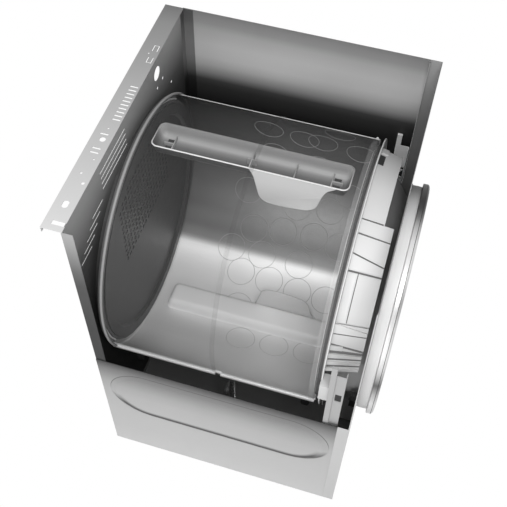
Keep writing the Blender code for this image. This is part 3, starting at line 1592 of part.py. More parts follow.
def joint_axes():
    joint_axis(
        "door_hinge_axis",
        (HINGE_X, HINGE_Y, up(DOOR_Z)),
        "door_frame",
        "door_trim_ring",
        "door_window",
        "door_seal",
        "hinge_arm",
        "door_strike",
    )
    joint_axis("drum_axis", (0, BAFFLE_Y, up(DRUM_Z)), "drum_shell", "top_baffle", "bottom_baffle")
    joint_axis("rotor_axis", (MOTOR_X, BELT_Y, up(MOTOR_Z)), "motor_shaft", "motor_pulley", "blower_wheel")
    pin_x, pin_z = arm_pivot()
    joint_axis("idler_arm_axis", (pin_x, BELT_Y, pin_z), "idler_arm")
    joint_axis("idler_pulley_axis", (IDLER_X, BELT_Y, up(IDLER_Z)), "idler_pulley")
    joint_axis("filter_slide", (0, FILTER_Y, up(CHUTE_LOW)), "lint_filter")
    x, z = round_about(SWITCH_ANGLE, SWITCH_RADIUS, DOOR_Z)
    joint_axis("plunger_slide", (x, PANEL_BACK, z), "door_switch_plunger")


cabinet_panels()
rear_wall()
base()
feet()
posts()
drum()
baffle("top_baffle", BAFFLE_TURN)
baffle("bottom_baffle", BAFFLE_TURN + 180)
front_bulkhead()
rear_bulkhead()
seals()
rollers()
motor()
drum_belt()
idler()
idler_spring()
blower()
lint_path()
heater()
terminals()
door()
hinge()
latch()
drum_lamp()
joint_axes()
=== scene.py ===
"""Looks of the cutaway clothes dryer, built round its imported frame."""

import json
import math

import bmesh
import bpy
from mathutils import Matrix, Vector


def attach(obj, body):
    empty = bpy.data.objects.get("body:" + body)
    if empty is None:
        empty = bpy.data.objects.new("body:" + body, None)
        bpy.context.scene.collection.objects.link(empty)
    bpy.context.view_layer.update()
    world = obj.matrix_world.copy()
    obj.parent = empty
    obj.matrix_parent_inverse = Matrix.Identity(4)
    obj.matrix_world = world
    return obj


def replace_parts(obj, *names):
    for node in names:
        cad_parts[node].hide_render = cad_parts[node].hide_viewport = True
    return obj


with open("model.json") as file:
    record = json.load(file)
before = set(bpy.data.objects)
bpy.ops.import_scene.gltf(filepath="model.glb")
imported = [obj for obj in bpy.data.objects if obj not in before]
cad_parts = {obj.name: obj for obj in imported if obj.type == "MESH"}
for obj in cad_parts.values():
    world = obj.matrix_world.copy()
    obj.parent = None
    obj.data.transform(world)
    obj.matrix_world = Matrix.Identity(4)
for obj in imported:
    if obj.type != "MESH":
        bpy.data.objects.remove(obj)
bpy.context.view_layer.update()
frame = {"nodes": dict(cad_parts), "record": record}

FOOT = 0.012  # the cabinet's bottom edge is this far above the floor
UP, ACROSS, BACKWARD = (0.0, 0.0, 1.0), (1.0, 0.0, 0.0), (0.0, 1.0, 0.0)

# Drum
DRUM_Z = FOOT + 0.553
DRUM_RADIUS = 0.3145
DRUM_WALL = 0.0015
DRUM_INNER = DRUM_RADIUS - DRUM_WALL
DRUM_FRONT = -0.211
DRUM_REAR = 0.289
DRUM_BEAD = 0.004
DRUM_LIP_RADIUS = 0.3
CENTRE = (0.0, DRUM_Z)
CUT_HIGH = 44  # degrees from +X, where the opaque far side ends at the top
CUT_LOW = 206  # where it ends at the bottom left

# Door
DOOR_Z = FOOT + 0.489
DOOR_CENTRE = (0.0, DOOR_Z)
OPENING_RADIUS = 0.235
WINDOW_RADIUS = 0.19
TRIM_RADIUS = 0.281
TRIM_FRONT = -0.347
ARM_FRONT = -0.3348
FRAME_RADIUS = 0.272
FRAME_FRONT = -0.33
FRAME_BACK = -0.309


# ---- Meshes


def show(thing):
    bpy.context.scene.collection.objects.link(thing)


def new_piece(name, bm, body, finish, angle=35):
    """Makes a piece of the mesh that rides on a body; edges sharper than the angle stay sharp."""
    bmesh.ops.remove_doubles(bm, verts=bm.verts, dist=1e-6)
    bmesh.ops.recalc_face_normals(bm, faces=bm.faces)
    mesh = bpy.data.meshes.new(name)
    bm.to_mesh(mesh)
    bm.free()
    mesh.shade_smooth()
    mesh.set_sharp_from_angle(angle=math.radians(angle))
    mesh.materials.append(finish)
    piece = bpy.data.objects.new(name, mesh)
    show(piece)
    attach(piece, body)
    return piece


def round_about(angle, radius, centre_z):
    turn = math.radians(angle)
    return radius * math.cos(turn), centre_z + radius * math.sin(turn)


def join_rings(bm, rings, closed=False):
    """Faces between rings of equally many corners, and from the last to the first if closed."""
    for a, b in zip(rings, rings[1:] + (rings[:1] if closed else [])):
        for i in range(len(a)):
            j = (i + 1) % len(a)
            bm.faces.new((a[i], a[j], b[j], b[i]))


def sweep_into(bm, section, start, end, centre, steps):
    """Sweeps a closed section of (radius, y) points about an axis along Y, between two angles."""
    whole = abs(end - start) >= 360
    rings = []
    cx, cz = centre
    for i in range(steps if whole else steps + 1):
        turn = math.radians(start + (end - start) * i / steps)
        cos, sin = math.cos(turn), math.sin(turn)
        rings.append([bm.verts.new((cx + r * cos, y, cz + r * sin)) for r, y in section])
    join_rings(bm, rings, whole)
    if not whole:
        bm.faces.new(rings[0])
        bm.faces.new(rings[-1][::-1])


def sweep(name, section, body, finish, centre, start=0, end=360, steps=96, angle=35):
    bm = bmesh.new()
    sweep_into(bm, section, start, end, centre, steps)
    return new_piece(name, bm, body, finish, angle=angle)


def tube_into(bm, points, radius, sides=10, closed=False):
    """Adds a round tube along a line of points."""
    points = [Vector(p) for p in points]
    rings = []
    last = None
    count = len(points)
    for i, point in enumerate(points):
        ahead = points[(i + 1) % count] if closed or i < count - 1 else point
        behind = points[i - 1] if closed or i > 0 else point
        along = (ahead - behind).normalized()
        if last is None:
            side = along.orthogonal().normalized()
        else:
            side = (last - along * last.dot(along)).normalized()
        last = side
        other = along.cross(side)
        ring = []
        for k in range(sides):
            turn = 2 * math.pi * k / sides
            ring.append(bm.verts.new(point + radius * (math.cos(turn) * side + math.sin(turn) * other)))
        rings.append(ring)
    join_rings(bm, rings, closed)
    if not closed:
        bm.faces.new(rings[0][::-1])
        bm.faces.new(rings[-1])


def box_into(bm, low, high, turn=None, bevel=0.0):
    size = Vector(high) - Vector(low)
    centre = (Vector(high) + Vector(low)) / 2
    place = Matrix.Translation(centre) @ Matrix.Diagonal((*size, 1.0))
    made = bmesh.ops.create_cube(bm, size=1.0, matrix=(turn or Matrix()) @ place)
    if bevel:
        edges = {edge for vert in made["verts"] for edge in vert.link_edges}
        bmesh.ops.bevel(bm, geom=list(edges), offset=bevel, segments=2, affect="EDGES", profile=0.6)


def loft_into(bm, loops, caps=True):
    """Joins loops of equally many points, each given as a list of places."""
    rings = [[bm.verts.new(p) for p in loop] for loop in loops]
    join_rings(bm, rings)
    if caps:
        bm.faces.new(rings[0][::-1])
        bm.faces.new(rings[-1])


# ---- Node groups


def grey(value):
    return (value, value, value, 1.0)


def group(name, inputs, outputs):
    """An empty node group with a Place and other named sockets: its tree, what it is given, what it gives."""
    tree = bpy.data.node_groups.new(name, "ShaderNodeTree")
    tree.interface.new_socket("Place", in_out="INPUT", socket_type="NodeSocketVector")
    for label, value in inputs.items():
        kind = {3: "Vector", 4: "Color"}[len(value)] if isinstance(value, tuple) else "Float"
        socket = tree.interface.new_socket(label, in_out="INPUT", socket_type="NodeSocket" + kind)
        socket.default_value = value
    for label in outputs:
        kind = "Color" if label == "Colour" else "Float"
        tree.interface.new_socket(label, in_out="OUTPUT", socket_type="NodeSocket" + kind)
    return tree, tree.nodes.new("NodeGroupInput").outputs, tree.nodes.new("NodeGroupOutput").inputs


def feed(tree, value, socket):
    """Sets a socket to a plain value, or links another socket to it."""
    if isinstance(value, (int, float, tuple)):
        socket.default_value = value
    else:
        tree.links.new(value, socket)


def fill(tree, node, **values):
    """Sets or links a node's inputs by name, with an underscore for each space."""
    for label, value in values.items():
        feed(tree, value, node.inputs[label.replace("_", " ")])
    return node


def maths(tree, operation, a, b=None, clamp=False):
    node = tree.nodes.new("ShaderNodeMath")
    node.operation = operation
    node.use_clamp = clamp
    feed(tree, a, node.inputs[0])
    if b is not None:
        feed(tree, b, node.inputs[1])
    return node.outputs[0]


def vector_maths(tree, operation, a, b):
    node = tree.nodes.new("ShaderNodeVectorMath")
    node.operation = operation
    feed(tree, a, node.inputs[0])
    feed(tree, b, node.inputs["Scale" if operation == "SCALE" else 1])
    return node.outputs["Value" if operation == "DOT_PRODUCT" else "Vector"]


def noise(tree, place, scale, detail=3.0):
    node = fill(tree, tree.nodes.new("ShaderNodeTexNoise"), Vector=place, Scale=scale, Detail=detail)
    return node.outputs["Fac"]


def swing(tree, value, amount):
    """How far noise lies from its middle, times an amount."""
    return maths(tree, "MULTIPLY", maths(tree, "SUBTRACT", value, 0.5), amount)


def hypotenuse(tree, a, b):
    """Length of the long side of a right-angled triangle."""
    both = maths(tree, "ADD", maths(tree, "MULTIPLY", a, a), maths(tree, "MULTIPLY", b, b))
    return maths(tree, "POWER", both, 0.5)


def split_place(tree, place, height):
    """A place's X and Y, and how far it lies above a height."""
    split = fill(tree, tree.nodes.new("ShaderNodeSeparateXYZ"), Vector=place)
    return split.outputs["X"], split.outputs["Y"], maths(tree, "SUBTRACT", split.outputs["Z"], height)


def make_surface_group():
    """Cloudy colour, scuffed roughness and a fine height, for every painted, moulded or plated finish."""
    tree, given, out = group(
        "worn surface",
        {"Colour": grey(0.5), "Variation": 0.06, "Roughness": 0.4, "Scuff": 0.1, "Grain Size": 400.0},
        ("Colour", "Roughness", "Height"),
    )
    clouds = noise(tree, given["Place"], 6.0)
    shift = maths(tree, "MULTIPLY", swing(tree, clouds, given["Variation"]), 2.0)
    level = maths(tree, "ADD", shift, 1.0)
    feed(tree, vector_maths(tree, "SCALE", given["Colour"], level), out["Colour"])
    rough = swing(tree, noise(tree, given["Place"], 45.0, detail=6.0), given["Scuff"])
    feed(tree, maths(tree, "ADD", rough, given["Roughness"], clamp=True), out["Roughness"])
    feed(tree, noise(tree, given["Place"], given["Grain Size"], detail=2.0), out["Height"])
    return tree


def make_brushed_group():
    """Fine lines drawn along one direction, for brushed and rolled steel."""
    tree, given, out = group(
        "brushed lines",
        {"Colour": grey(0.6), "Stretch": (1.0, 0.02, 1.0), "Roughness": 0.3, "Line Depth": 0.12},
        ("Colour", "Roughness", "Height"),
    )
    stretched = vector_maths(tree, "MULTIPLY", given["Place"], given["Stretch"])
    lines = noise(tree, stretched, 900.0, detail=2.0)
    clouds = noise(tree, given["Place"], 5.0)
    level = maths(tree, "ADD", swing(tree, lines, given["Line Depth"]), 1.0)
    level = maths(tree, "ADD", level, swing(tree, clouds, 0.1))
    feed(tree, vector_maths(tree, "SCALE", given["Colour"], level), out["Colour"])
    rough = swing(tree, lines, given["Line Depth"])
    feed(tree, maths(tree, "ADD", rough, given["Roughness"], clamp=True), out["Roughness"])
    feed(tree, lines, out["Height"])
    return tree


def make_depth_group():
    """Where a place lies along one axis: 0 at the first value and 1 at the second."""
    tree, given, out = group("depth in cabinet", {"Along": UP, "From": 0.0, "To": 1.0}, ("Share",))
    value = vector_maths(tree, "DOT_PRODUCT", given["Place"], given["Along"])
    spread = tree.nodes.new("ShaderNodeMapRange")
    fill(tree, spread, Value=value, From_Min=given["From"], From_Max=given["To"])
    feed(tree, spread.outputs["Result"], out["Share"])
    return tree


def make_turn_group():
    """How far a place is round an axis along Y: 0 to 1 over a full turn from the start angle."""
    tree, given, out = group("turn about axis", {"Height": 0.5, "Start": -180.0}, ("Share",))
    across, _, rise = split_place(tree, given["Place"], given["Height"])
    angle = maths(tree, "ARCTAN2", rise, across)
    start = maths(tree, "MULTIPLY", given["Start"], math.pi / 180)
    turn = maths(tree, "DIVIDE", maths(tree, "SUBTRACT", angle, start), 2 * math.pi)
    feed(tree, maths(tree, "FRACT", turn), out["Share"])
    return tree


def make_reach_group():
    """How far from an axis along Y a place is: 0 to 1 between two radii."""
    tree, given, out = group("reach from axis", {"Height": 0.5, "From": 0.1, "To": 0.2}, ("Share",))
    across, _, rise = split_place(tree, given["Place"], given["Height"])
    reach = maths(tree, "SUBTRACT", hypotenuse(tree, across, rise), given["From"])
    span = maths(tree, "SUBTRACT", given["To"], given["From"])
    feed(tree, maths(tree, "DIVIDE", reach, span, clamp=True), out["Share"])
    return tree


# A pressed oval's thin line of painted crease shade lies this far inside its edge; its painted soft shade
# reaches this far out and in.
CREASE_SHADE_IN = 0.0012
SHADE_OUT, SHADE_IN = 0.002, 0.031
CREASE_SHADE_FADE, SHADE_OUT_FADE, SHADE_IN_FADE = 700.0, 200.0, 90.0  # how fast each fades, per metre


def make_oval_group():
    """Masks for the painted shade line above and the painted soft shadow below a pressed oval on a side
    panel.
    """
    tree, given, out = group(
        "pressed oval",
        {"Middle Y": 0.0, "Middle Z": 0.3, "Half Straight": 0.17, "Radius": 0.1},
        ("Line", "Shadow"),
    )
    _, along, rise = split_place(tree, given["Place"], given["Middle Z"])
    along = maths(tree, "ABSOLUTE", maths(tree, "SUBTRACT", along, given["Middle Y"]))
    along = maths(tree, "MAXIMUM", maths(tree, "SUBTRACT", along, given["Half Straight"]), 0.0)
    inward = maths(tree, "SUBTRACT", given["Radius"], hypotenuse(tree, along, rise))
    upward = maths(tree, "DIVIDE", rise, given["Radius"])
    away = maths(tree, "ABSOLUTE", maths(tree, "SUBTRACT", inward, CREASE_SHADE_IN))
    line = maths(tree, "SUBTRACT", 1.0, maths(tree, "MULTIPLY", away, CREASE_SHADE_FADE), clamp=True)
    top = maths(tree, "MULTIPLY", maths(tree, "ADD", upward, 0.05), 3.0, clamp=True)
    feed(tree, maths(tree, "MULTIPLY", line, top), out["Line"])
    start = maths(tree, "MULTIPLY", maths(tree, "ADD", inward, SHADE_OUT), SHADE_OUT_FADE, clamp=True)
    end = maths(tree, "MULTIPLY", maths(tree, "SUBTRACT", SHADE_IN, inward), SHADE_IN_FADE, clamp=True)
    low = maths(tree, "MULTIPLY", maths(tree, "SUBTRACT", -0.12, upward), 2.6, clamp=True)
    band = maths(tree, "MULTIPLY", start, end)
    feed(tree, maths(tree, "MULTIPLY", band, low), out["Shadow"])
    return tree


SURFACE = make_surface_group()
BRUSHED = make_brushed_group()
DEPTH = make_depth_group()
TURN = make_turn_group()
REACH = make_reach_group()
OVAL = make_oval_group()


def place_group(tree, shared, place, **values):
    node = tree.nodes.new("ShaderNodeGroup")
    node.node_tree = shared
    return fill(tree, node, Place=place, **values)


# ---- Colours that follow the place


def tone(level):
    """Linear grey for a paint-card level between 0 and 255."""
    share = level / 255
    return share / 12.92 if share <= 0.04045 else ((share + 0.055) / 1.055) ** 2.4


def toned(tree, share, stops, first, last, lift=1.0):
    """Colour that runs through (where, level) stops as a share goes from the first value to the last."""
    ramp = fill(tree, tree.nodes.new("ShaderNodeValToRGB"), Fac=share)
    elements = ramp.color_ramp.elements
    stops = sorted(stops)
    while len(elements) < len(stops):
        elements.new(0.5)
    for i, (where, level) in enumerate(stops):
        elements[i].position = (where - first) / (last - first)
    for i, (where, level) in enumerate(stops):
        elements[i].color = grey(tone(level) * lift)
    return ramp.outputs["Color"]


def share_along(tree, place, along, first, last):
    return place_group(tree, DEPTH, place, Along=along, From=first, To=last).outputs["Share"]


def toned_along(tree, place, along, stops, lift=1.0):
    first, last = min(stops)[0], max(stops)[0]
    return toned(tree, share_along(tree, place, along, first, last), stops, first, last, lift)


def toned_round(tree, place, height, start, stops):
    node = place_group(tree, TURN, place, Height=height, Start=float(start))
    return toned(tree, node.outputs["Share"], stops, start, start + 360)


def mixed(tree, share, first, second):
    mix = tree.nodes.new("ShaderNodeMix")
    mix.data_type = "RGBA"
    return fill(tree, mix, Factor=share, A=first, B=second).outputs["Result"]


def round_colour(stops, height, start):
    return lambda tree, place: toned_round(tree, place, height, start, stops)


def along_colour(stops, along):
    return lambda tree, place: toned_along(tree, place, along, stops)


def lifted(stops):
    """The same stops measured from the floor instead of from the cabinet's bottom edge."""
    return [(where + FOOT, level) for where, level in stops]


# ---- Greys of painted light and shade, as (place, level) stops

# Painted shade on the far panel's inner face: near black low down beside the drum, lighter higher up.
INNER_FAR_SHADE = [
    (0.55, 4), (0.66, 28), (0.705, 44), (0.725, 60), (0.75, 128), (0.775, 154), (0.8, 165), (0.84, 160),
    (0.88, 143), (0.9, 122), (0.93, 104),
]
# Painted shade down the rear panel's inner face: dark low down, lighter towards the top.
REAR_SHADE_STOPS = [(0.4, 30), (0.6, 42), (0.75, 60), (0.8, 84), (0.86, 122), (0.9, 142), (0.93, 150)]
# Painted shade on the rear disc: dark low down, a little lighter towards the top.
DISC_SHADE_STOPS = [(0.2, 26), (0.45, 34), (0.6, 46), (0.75, 64), (0.9, 70)]
# Painted light along the rail's top: lightest at the near side, darker towards the far side.
RAIL_LIGHT_STOPS = [(-0.34, 222), (-0.2, 210), (-0.05, 196), (0.08, 183), (0.2, 166), (0.28, 154), (0.34, 130)]
# Painted shade down the near panel: lightest low down, darkening towards its cut top edge.
NEAR_SHADE_STOPS = [
    (0.02, 198), (0.1, 192), (0.18, 188), (0.26, 182), (0.3, 178), (0.34, 166), (0.38, 140), (0.41, 112),
    (0.43, 74), (0.44, 40),
]
# Painted shade on the front panel's inner face: near black low down and again higher up, lighter in a band at
# mid height.
FRONT_SHADE_STOPS = [
    (0.0, 5), (0.28, 20), (0.34, 120), (0.5, 165), (0.66, 165), (0.7, 90), (0.725, 10), (0.85, 20),
    (0.93, 60),
]
DRUM_START = -156  # degrees from +X, as in the other starts below
# Painted highlight and shade round the drum's inside: a bright band near -63 degrees that stands for a
# reflection, and dark in the upper part.
DRUM_LIGHT_STOPS = [
    (-156, 178), (-154, 214), (-140, 214), (-125, 214), (-110, 214), (-98, 228), (-86, 234), (-74, 238),
    (-68, 246), (-63.5, 255), (-60.5, 250), (-57, 130), (-50, 112), (-44, 142), (-32, 148), (-20, 134),
    (-8, 102), (4, 88), (16, 82), (28, 66), (40, 60), (46, 64), (204, 80),
]
# Painted shade making the drum darker towards its rear.
DRUM_REAR_SHADE = [(-0.21, 255), (-0.13, 255), (0.02, 238), (0.11, 196), (0.29, 178)]
BAND_START = 30
# Painted light and shade round the door's white moulding: darkest near 30 degrees, light over most of the
# ring.
BAND_LIGHT_STOPS = [
    (30, 118), (54, 132), (60, 154), (66, 184), (72, 212), (84, 240), (96, 248), (150, 246), (162, 236),
    (180, 230), (215, 222), (300, 210), (390, 118),
]
# Painted reflection round the chrome ring: dark and bright bands that stand in for what it reflects.
CHROME_REFLECTION_STOPS = [
    (30, 60), (48, 60), (60, 78), (72, 60), (78, 82), (84, 134), (90, 206), (98, 246), (108, 253), (116, 250),
    (126, 190), (136, 232), (150, 250), (158, 225), (168, 96), (175, 186), (184, 232), (194, 222), (206, 244),
    (222, 210), (300, 196), (390, 60),
]
COLLAR_START = 34
# Painted light and shade round the collar: lightest over the top, darker down the near side and underneath.
COLLAR_LIGHT_STOPS = [
    (34, 168), (60, 190), (74, 208), (88, 226), (104, 229), (118, 230), (142, 229), (152, 214), (158, 198),
    (170, 206), (185, 172), (200, 126), (300, 100), (394, 168),
]

# Inner and outer face of a sheet, and where the returns at its sides begin, along the axis across it.
FRONT_FACES = (-0.3036, -0.3042)
FRONT_RETURN = (0.336, 0.34)
REAR_FACES = (0.3041, 0.3046)
REAR_RETURN = (0.318, 0.321)
FAR_FACES = (0.3424, 0.3428)

# The near panel's oval
OVAL_Y = 0.0075
OVAL_Z = FOOT + 0.3065
OVAL_STRAIGHT = 0.175
OVAL_ROUND = 0.102
# Greys of the thin line of painted crease shade above the oval and of the painted shadow below it.
OVAL_CREASE_SHADE_GREY = 0.08
OVAL_SHADE_GREY = 0.055


def inside_and_out(stops, along, faces, outer, lift=1.0):
    """Greys of painted light and shade down the inner face, and one level on the outer face."""

    def draw(tree, place):
        inner = toned_along(tree, place, UP, lifted(stops), lift)
        return mixed(tree, share_along(tree, place, along, *faces), inner, grey(tone(outer)))

    return draw


def near_panel_shade_colour(tree, place):
    # Painted shade darkening towards the panel's top edge.
    base = toned_along(tree, place, UP, lifted(NEAR_SHADE_STOPS))
    oval = place_group(tree, OVAL, place, Middle_Y=OVAL_Y, Middle_Z=OVAL_Z, Half_Straight=OVAL_STRAIGHT,
                       Radius=OVAL_ROUND)
    # Painted shade: a thin dark crease line along the oval's upper edge and a soft shadow below it.
    base = mixed(tree, oval.outputs["Line"], base, grey(OVAL_CREASE_SHADE_GREY))
    return mixed(tree, oval.outputs["Shadow"], base, grey(OVAL_SHADE_GREY))


def front_panel_shade_colour(tree, place):
    """Painted shade on the sheet's hidden inner face, light on its outer face, and painted light and shade on
    the returns: lighter at the near side, darker at the far side.
    """
    colour = inside_and_out(FRONT_SHADE_STOPS, BACKWARD, FRONT_FACES, outer=186)(tree, place)
    inside, edge = FRONT_RETURN
    for side, level in ((-1, 196), (1, 160)):
        share = share_along(tree, place, ACROSS, side * inside, side * edge)
        colour = mixed(tree, share, colour, grey(tone(level)))
    return colour


def rear_panel_shade_colour(tree, place):
    """Painted shade down the sheet's inner face, darker still on its return beside the far panel, and one
    level behind.
    """
    sheet = inside_and_out(REAR_SHADE_STOPS, BACKWARD, REAR_FACES, outer=170, lift=1.3)(tree, place)
    corner = share_along(tree, place, ACROSS, *REAR_RETURN)
    inner = share_along(tree, place, BACKWARD, *REAR_FACES[::-1])
    share = maths(tree, "MULTIPLY", corner, inner)
    return mixed(tree, share, sheet, toned_along(tree, place, UP, lifted(INNER_FAR_SHADE), lift=0.55))


def drum_light_and_shade_colour(tree, place):
    """Painted highlight and shade round the drum's inside, with painted shade darker towards the rear in its
    upper part, and one grey outside.
    """
    round_it = toned_round(tree, place, DRUM_Z, DRUM_START, DRUM_LIGHT_STOPS)
    backward = toned_along(tree, place, BACKWARD, DRUM_REAR_SHADE)
    low = share_along(tree, place, UP, DRUM_Z - 0.2, DRUM_Z - 0.28)
    inside = vector_maths(tree, "MULTIPLY", round_it, mixed(tree, low, backward, grey(1.0)))
    inner, outer = DRUM_RADIUS - 0.001, DRUM_RADIUS - 0.0005
    outside = place_group(tree, REACH, place, Height=DRUM_Z, From=inner, To=outer)
    return mixed(tree, outside.outputs["Share"], inside, grey(0.3))


# ---- Finishes


def group_finish(name, shared, colour, **values):
    """A material whose colour and roughness a shared group gives.

    The colour is one grey, or what a function draws from the tree and the place.
    """
    made = bpy.data.materials.new(name)
    made.use_nodes = True
    tree = made.node_tree
    shader = tree.nodes["Principled BSDF"]
    place = tree.nodes.new("ShaderNodeTexCoord").outputs["Object"]
    base = colour(tree, place) if callable(colour) else grey(colour)
    node = place_group(tree, shared, place, Colour=base, **values)
    fill(tree, shader, Base_Color=node.outputs["Colour"], Roughness=node.outputs["Roughness"])
    return made, tree, shader, node


def bump_from(tree, shader, height, strength, distance):
    bump = tree.nodes.new("ShaderNodeBump")
    fill(tree, bump, Height=height, Strength=strength, Distance=distance)
    fill(tree, shader, Normal=bump.outputs["Normal"])


def surface_finish(name, colour, roughness, metallic=0.0, variation=0.05, scuff=0.12, grain=500.0,
                   bump=0.15, depth=0.0002):
    made, tree, shader, node = group_finish(name, SURFACE, colour, Variation=variation, Roughness=roughness,
                                            Scuff=scuff, Grain_Size=grain)
    shader.inputs["Metallic"].default_value = metallic
    bump_from(tree, shader, node.outputs["Height"], bump, depth)
    return made


def moulded_finish(name, colour, roughness, variation=0.03):
    return surface_finish(name, colour, roughness, variation=variation, grain=900.0)


def brushed_finish(name, colour, roughness, stretch, metallic):
    made, tree, shader, node = group_finish(name, BRUSHED, colour, Stretch=stretch, Roughness=roughness,
                                            Line_Depth=0.12)
    shader.inputs["Metallic"].default_value = metallic
    bump_from(tree, shader, node.outputs["Height"], 0.1, 0.0001)
    return made


def ghost_finish(name, colour, alpha):
    """See-through skin of what is shown cut away."""
    made, _, shader, _ = group_finish(name, BRUSHED, colour, Stretch=(1.0, 0.05, 1.0), Roughness=0.35,
                                      Line_Depth=0.08)
    shader.inputs["Alpha"].default_value = alpha
    return made


def glass_finish(name):
    made, _, shader, _ = group_finish(name, SURFACE, 0.92, Variation=0.01, Roughness=0.04, Scuff=0.03)
    shader.inputs["Transmission Weight"].default_value = 1.0
    shader.inputs["IOR"].default_value = 1.46
    return made


DRUM_STEEL = brushed_finish("brushed_drum_steel", drum_light_and_shade_colour, 0.38, (1.0, 0.02, 1.0), metallic=0.25)
# Lit and shaded copies of the drum steel: painted highlights on the cut edges and the rear curl, painted
# shade on the rear ring.
DRUM_EDGE_HIGHLIGHT = surface_finish("drum_edge_painted_highlight", 0.62, 0.38, metallic=0.2)
RIM_HIGHLIGHT = surface_finish("drum_rim_painted_highlight", 0.8, 0.35, metallic=0.2)
RIM_SHADE = surface_finish("drum_rim_painted_shade", 0.13, 0.5, metallic=0.2)
CIRCLE_LINE = surface_finish("pressed_line", 0.36, 0.5)
DRUM_GHOST = ghost_finish("drum_cut_away_skin", 0.7, 0.02)
GHOST_RIM = ghost_finish("cut_away_rim", 0.7, 0.1)
GHOST_BELT = ghost_finish("cut_away_belt", 0.05, 0.06)
WHITE_PLASTIC = moulded_finish("white_moulding_painted_light", round_colour(BAND_LIGHT_STOPS, DOOR_Z, BAND_START), 0.45, 0.02)
COLLAR = moulded_finish("collar_moulding_painted_light", round_colour(COLLAR_LIGHT_STOPS, DRUM_Z, COLLAR_START), 0.5)
COLLAR_PLAIN = moulded_finish("light_moulding", 0.6, 0.5)
# Light grey for the painted highlight along the bulkhead's outer edge, and for the hooks.
EDGE_HIGHLIGHT_AND_HOOK = surface_finish("moulding_edge_highlight_and_hook_wire", 0.8, 0.5, variation=0.02)
# Painted shade for the dark lines beside the collar's pads, gussets and fins.
SHADOW_LINE_GREY = surface_finish("painted_shadow_line", 0.16, 0.8)
# Near black sheets of painted shade, laid where holes and openings show only shadow.
SHADOW_GAP = surface_finish("painted_shade_sheet", 0.035, 0.8)
FIN_PLASTIC = moulded_finish("fin_moulding", 0.58, 0.5)
DARK_PLASTIC = moulded_finish("dark_moulding", 0.03, 0.5, 0.05)
# The chrome's greys round the ring are a painted reflection.
CHROME = surface_finish("polished_chrome_painted_reflection", round_colour(CHROME_REFLECTION_STOPS, DOOR_Z, BAND_START), 0.3,
                        metallic=0.25, variation=0.02, scuff=0.06, bump=0.02)
RUBBER = surface_finish("matt_rubber", 0.03, 0.75, grain=700.0)

SLOT_FINISH = {
    "painted_steel": surface_finish("satin_grey_paint", 0.5, 0.42, variation=0.04),
    "galvanised_steel": brushed_finish("zinc_coated_sheet", 0.35, 0.45, (1.0, 0.3, 0.05), metallic=0.5),
    "drum_steel": DRUM_STEEL,
    "white_plastic": WHITE_PLASTIC,
    "grey_plastic": moulded_finish("grey_moulding", 0.42, 0.45, 0.04),
    "dark_plastic": DARK_PLASTIC,
    "chrome": CHROME,
    "window_glass": glass_finish("clear_glass"),
    "rubber": RUBBER,
    "felt": surface_finish("pressed_felt", 0.1, 0.95, grain=1500.0, bump=0.6, depth=0.0006),
    "heating_wire": surface_finish("oxidised_wire", 0.25, 0.5, metallic=1.0),
    "bright_steel": brushed_finish("bright_plated_steel", 0.55, 0.32, (1.0, 1.0, 0.05), metallic=0.8),
}
# The far panel's inner face carries painted shade; its outer face has one grey.
far_panel_shade_colour = inside_and_out(INNER_FAR_SHADE, ACROSS, FAR_FACES, outer=186, lift=1.5)
OWN_FINISH = {
    "right_side_panel": surface_finish("far_panel_paint_painted_shade", far_panel_shade_colour, 0.5),
    "left_side_panel": surface_finish("near_panel_paint_painted_shade", near_panel_shade_colour, 0.45, variation=0.03),
    "front_panel": surface_finish("front_panel_paint_painted_shade", front_panel_shade_colour, 0.5),
    "rear_panel": surface_finish("rear_sheet_painted_shade", rear_panel_shade_colour, 0.5),
    "rear_top_rail": surface_finish("rail_paint_painted_light", along_colour(RAIL_LIGHT_STOPS, ACROSS), 0.45),
    "rear_bulkhead": surface_finish("rear_disc_painted_shade", along_colour(DISC_SHADE_STOPS, UP), 0.5),
    # The posts share one paint: painted shade on the near post, painted light on the far post.
    "left_post": surface_finish("near_post_shaded_paint", 0.42, 0.45, variation=0.03),
    "right_post": surface_finish("far_post_lit_paint", 0.92, 0.5, variation=0.03),
}

for row in frame["record"]["subparts"]:
    node = frame["nodes"][row["node"]]
    finish = OWN_FINISH.get(row["node"]) or SLOT_FINISH[row["material_slot"]]
    node.data.materials.clear()
    node.data.materials.append(finish)


# ---- Drum

BEAD_FROM = 0.0045  # from the drum's end to its rolled bead
BEAD_LONG = 0.008
RIM_LONG = 0.0138  # the end rings of the cut-away half, with the clear skin between them
SKIN_IN = 0.014


def drum_section():
    """The sheet's outline: outside from the front lip to the rear lip, then back along the inside."""
    outer, bead = DRUM_RADIUS, DRUM_RADIUS + DRUM_BEAD
    skin = []
    for y, way in ((DRUM_FRONT, 1), (DRUM_REAR, -1)):
        end = [(DRUM_LIP_RADIUS, y), (outer - 0.003, y), (outer - 0.0008, y + way * 0.0008),
               (outer, y + way * 0.003)]
        for i in range(9):
            turn = math.pi * i / 8
            end.append((outer + (bead - outer) * math.sin(turn), y + way * (BEAD_FROM + BEAD_LONG * i / 8)))
        skin += end if way > 0 else end[::-1]
    return skin + [
        (DRUM_LIP_RADIUS, DRUM_REAR - DRUM_WALL), (DRUM_INNER - 0.003, DRUM_REAR - DRUM_WALL),
        (DRUM_INNER, DRUM_REAR - 0.004), (DRUM_INNER, DRUM_FRONT + 0.004),
        (DRUM_INNER - 0.003, DRUM_FRONT + DRUM_WALL), (DRUM_LIP_RADIUS, DRUM_FRONT + DRUM_WALL),
    ]


far_half = sweep("drum_far_half", drum_section(), "drum", DRUM_STEEL, CENTRE, CUT_LOW - 360, CUT_HIGH,
                 steps=110)
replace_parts(far_half, "drum_shell")

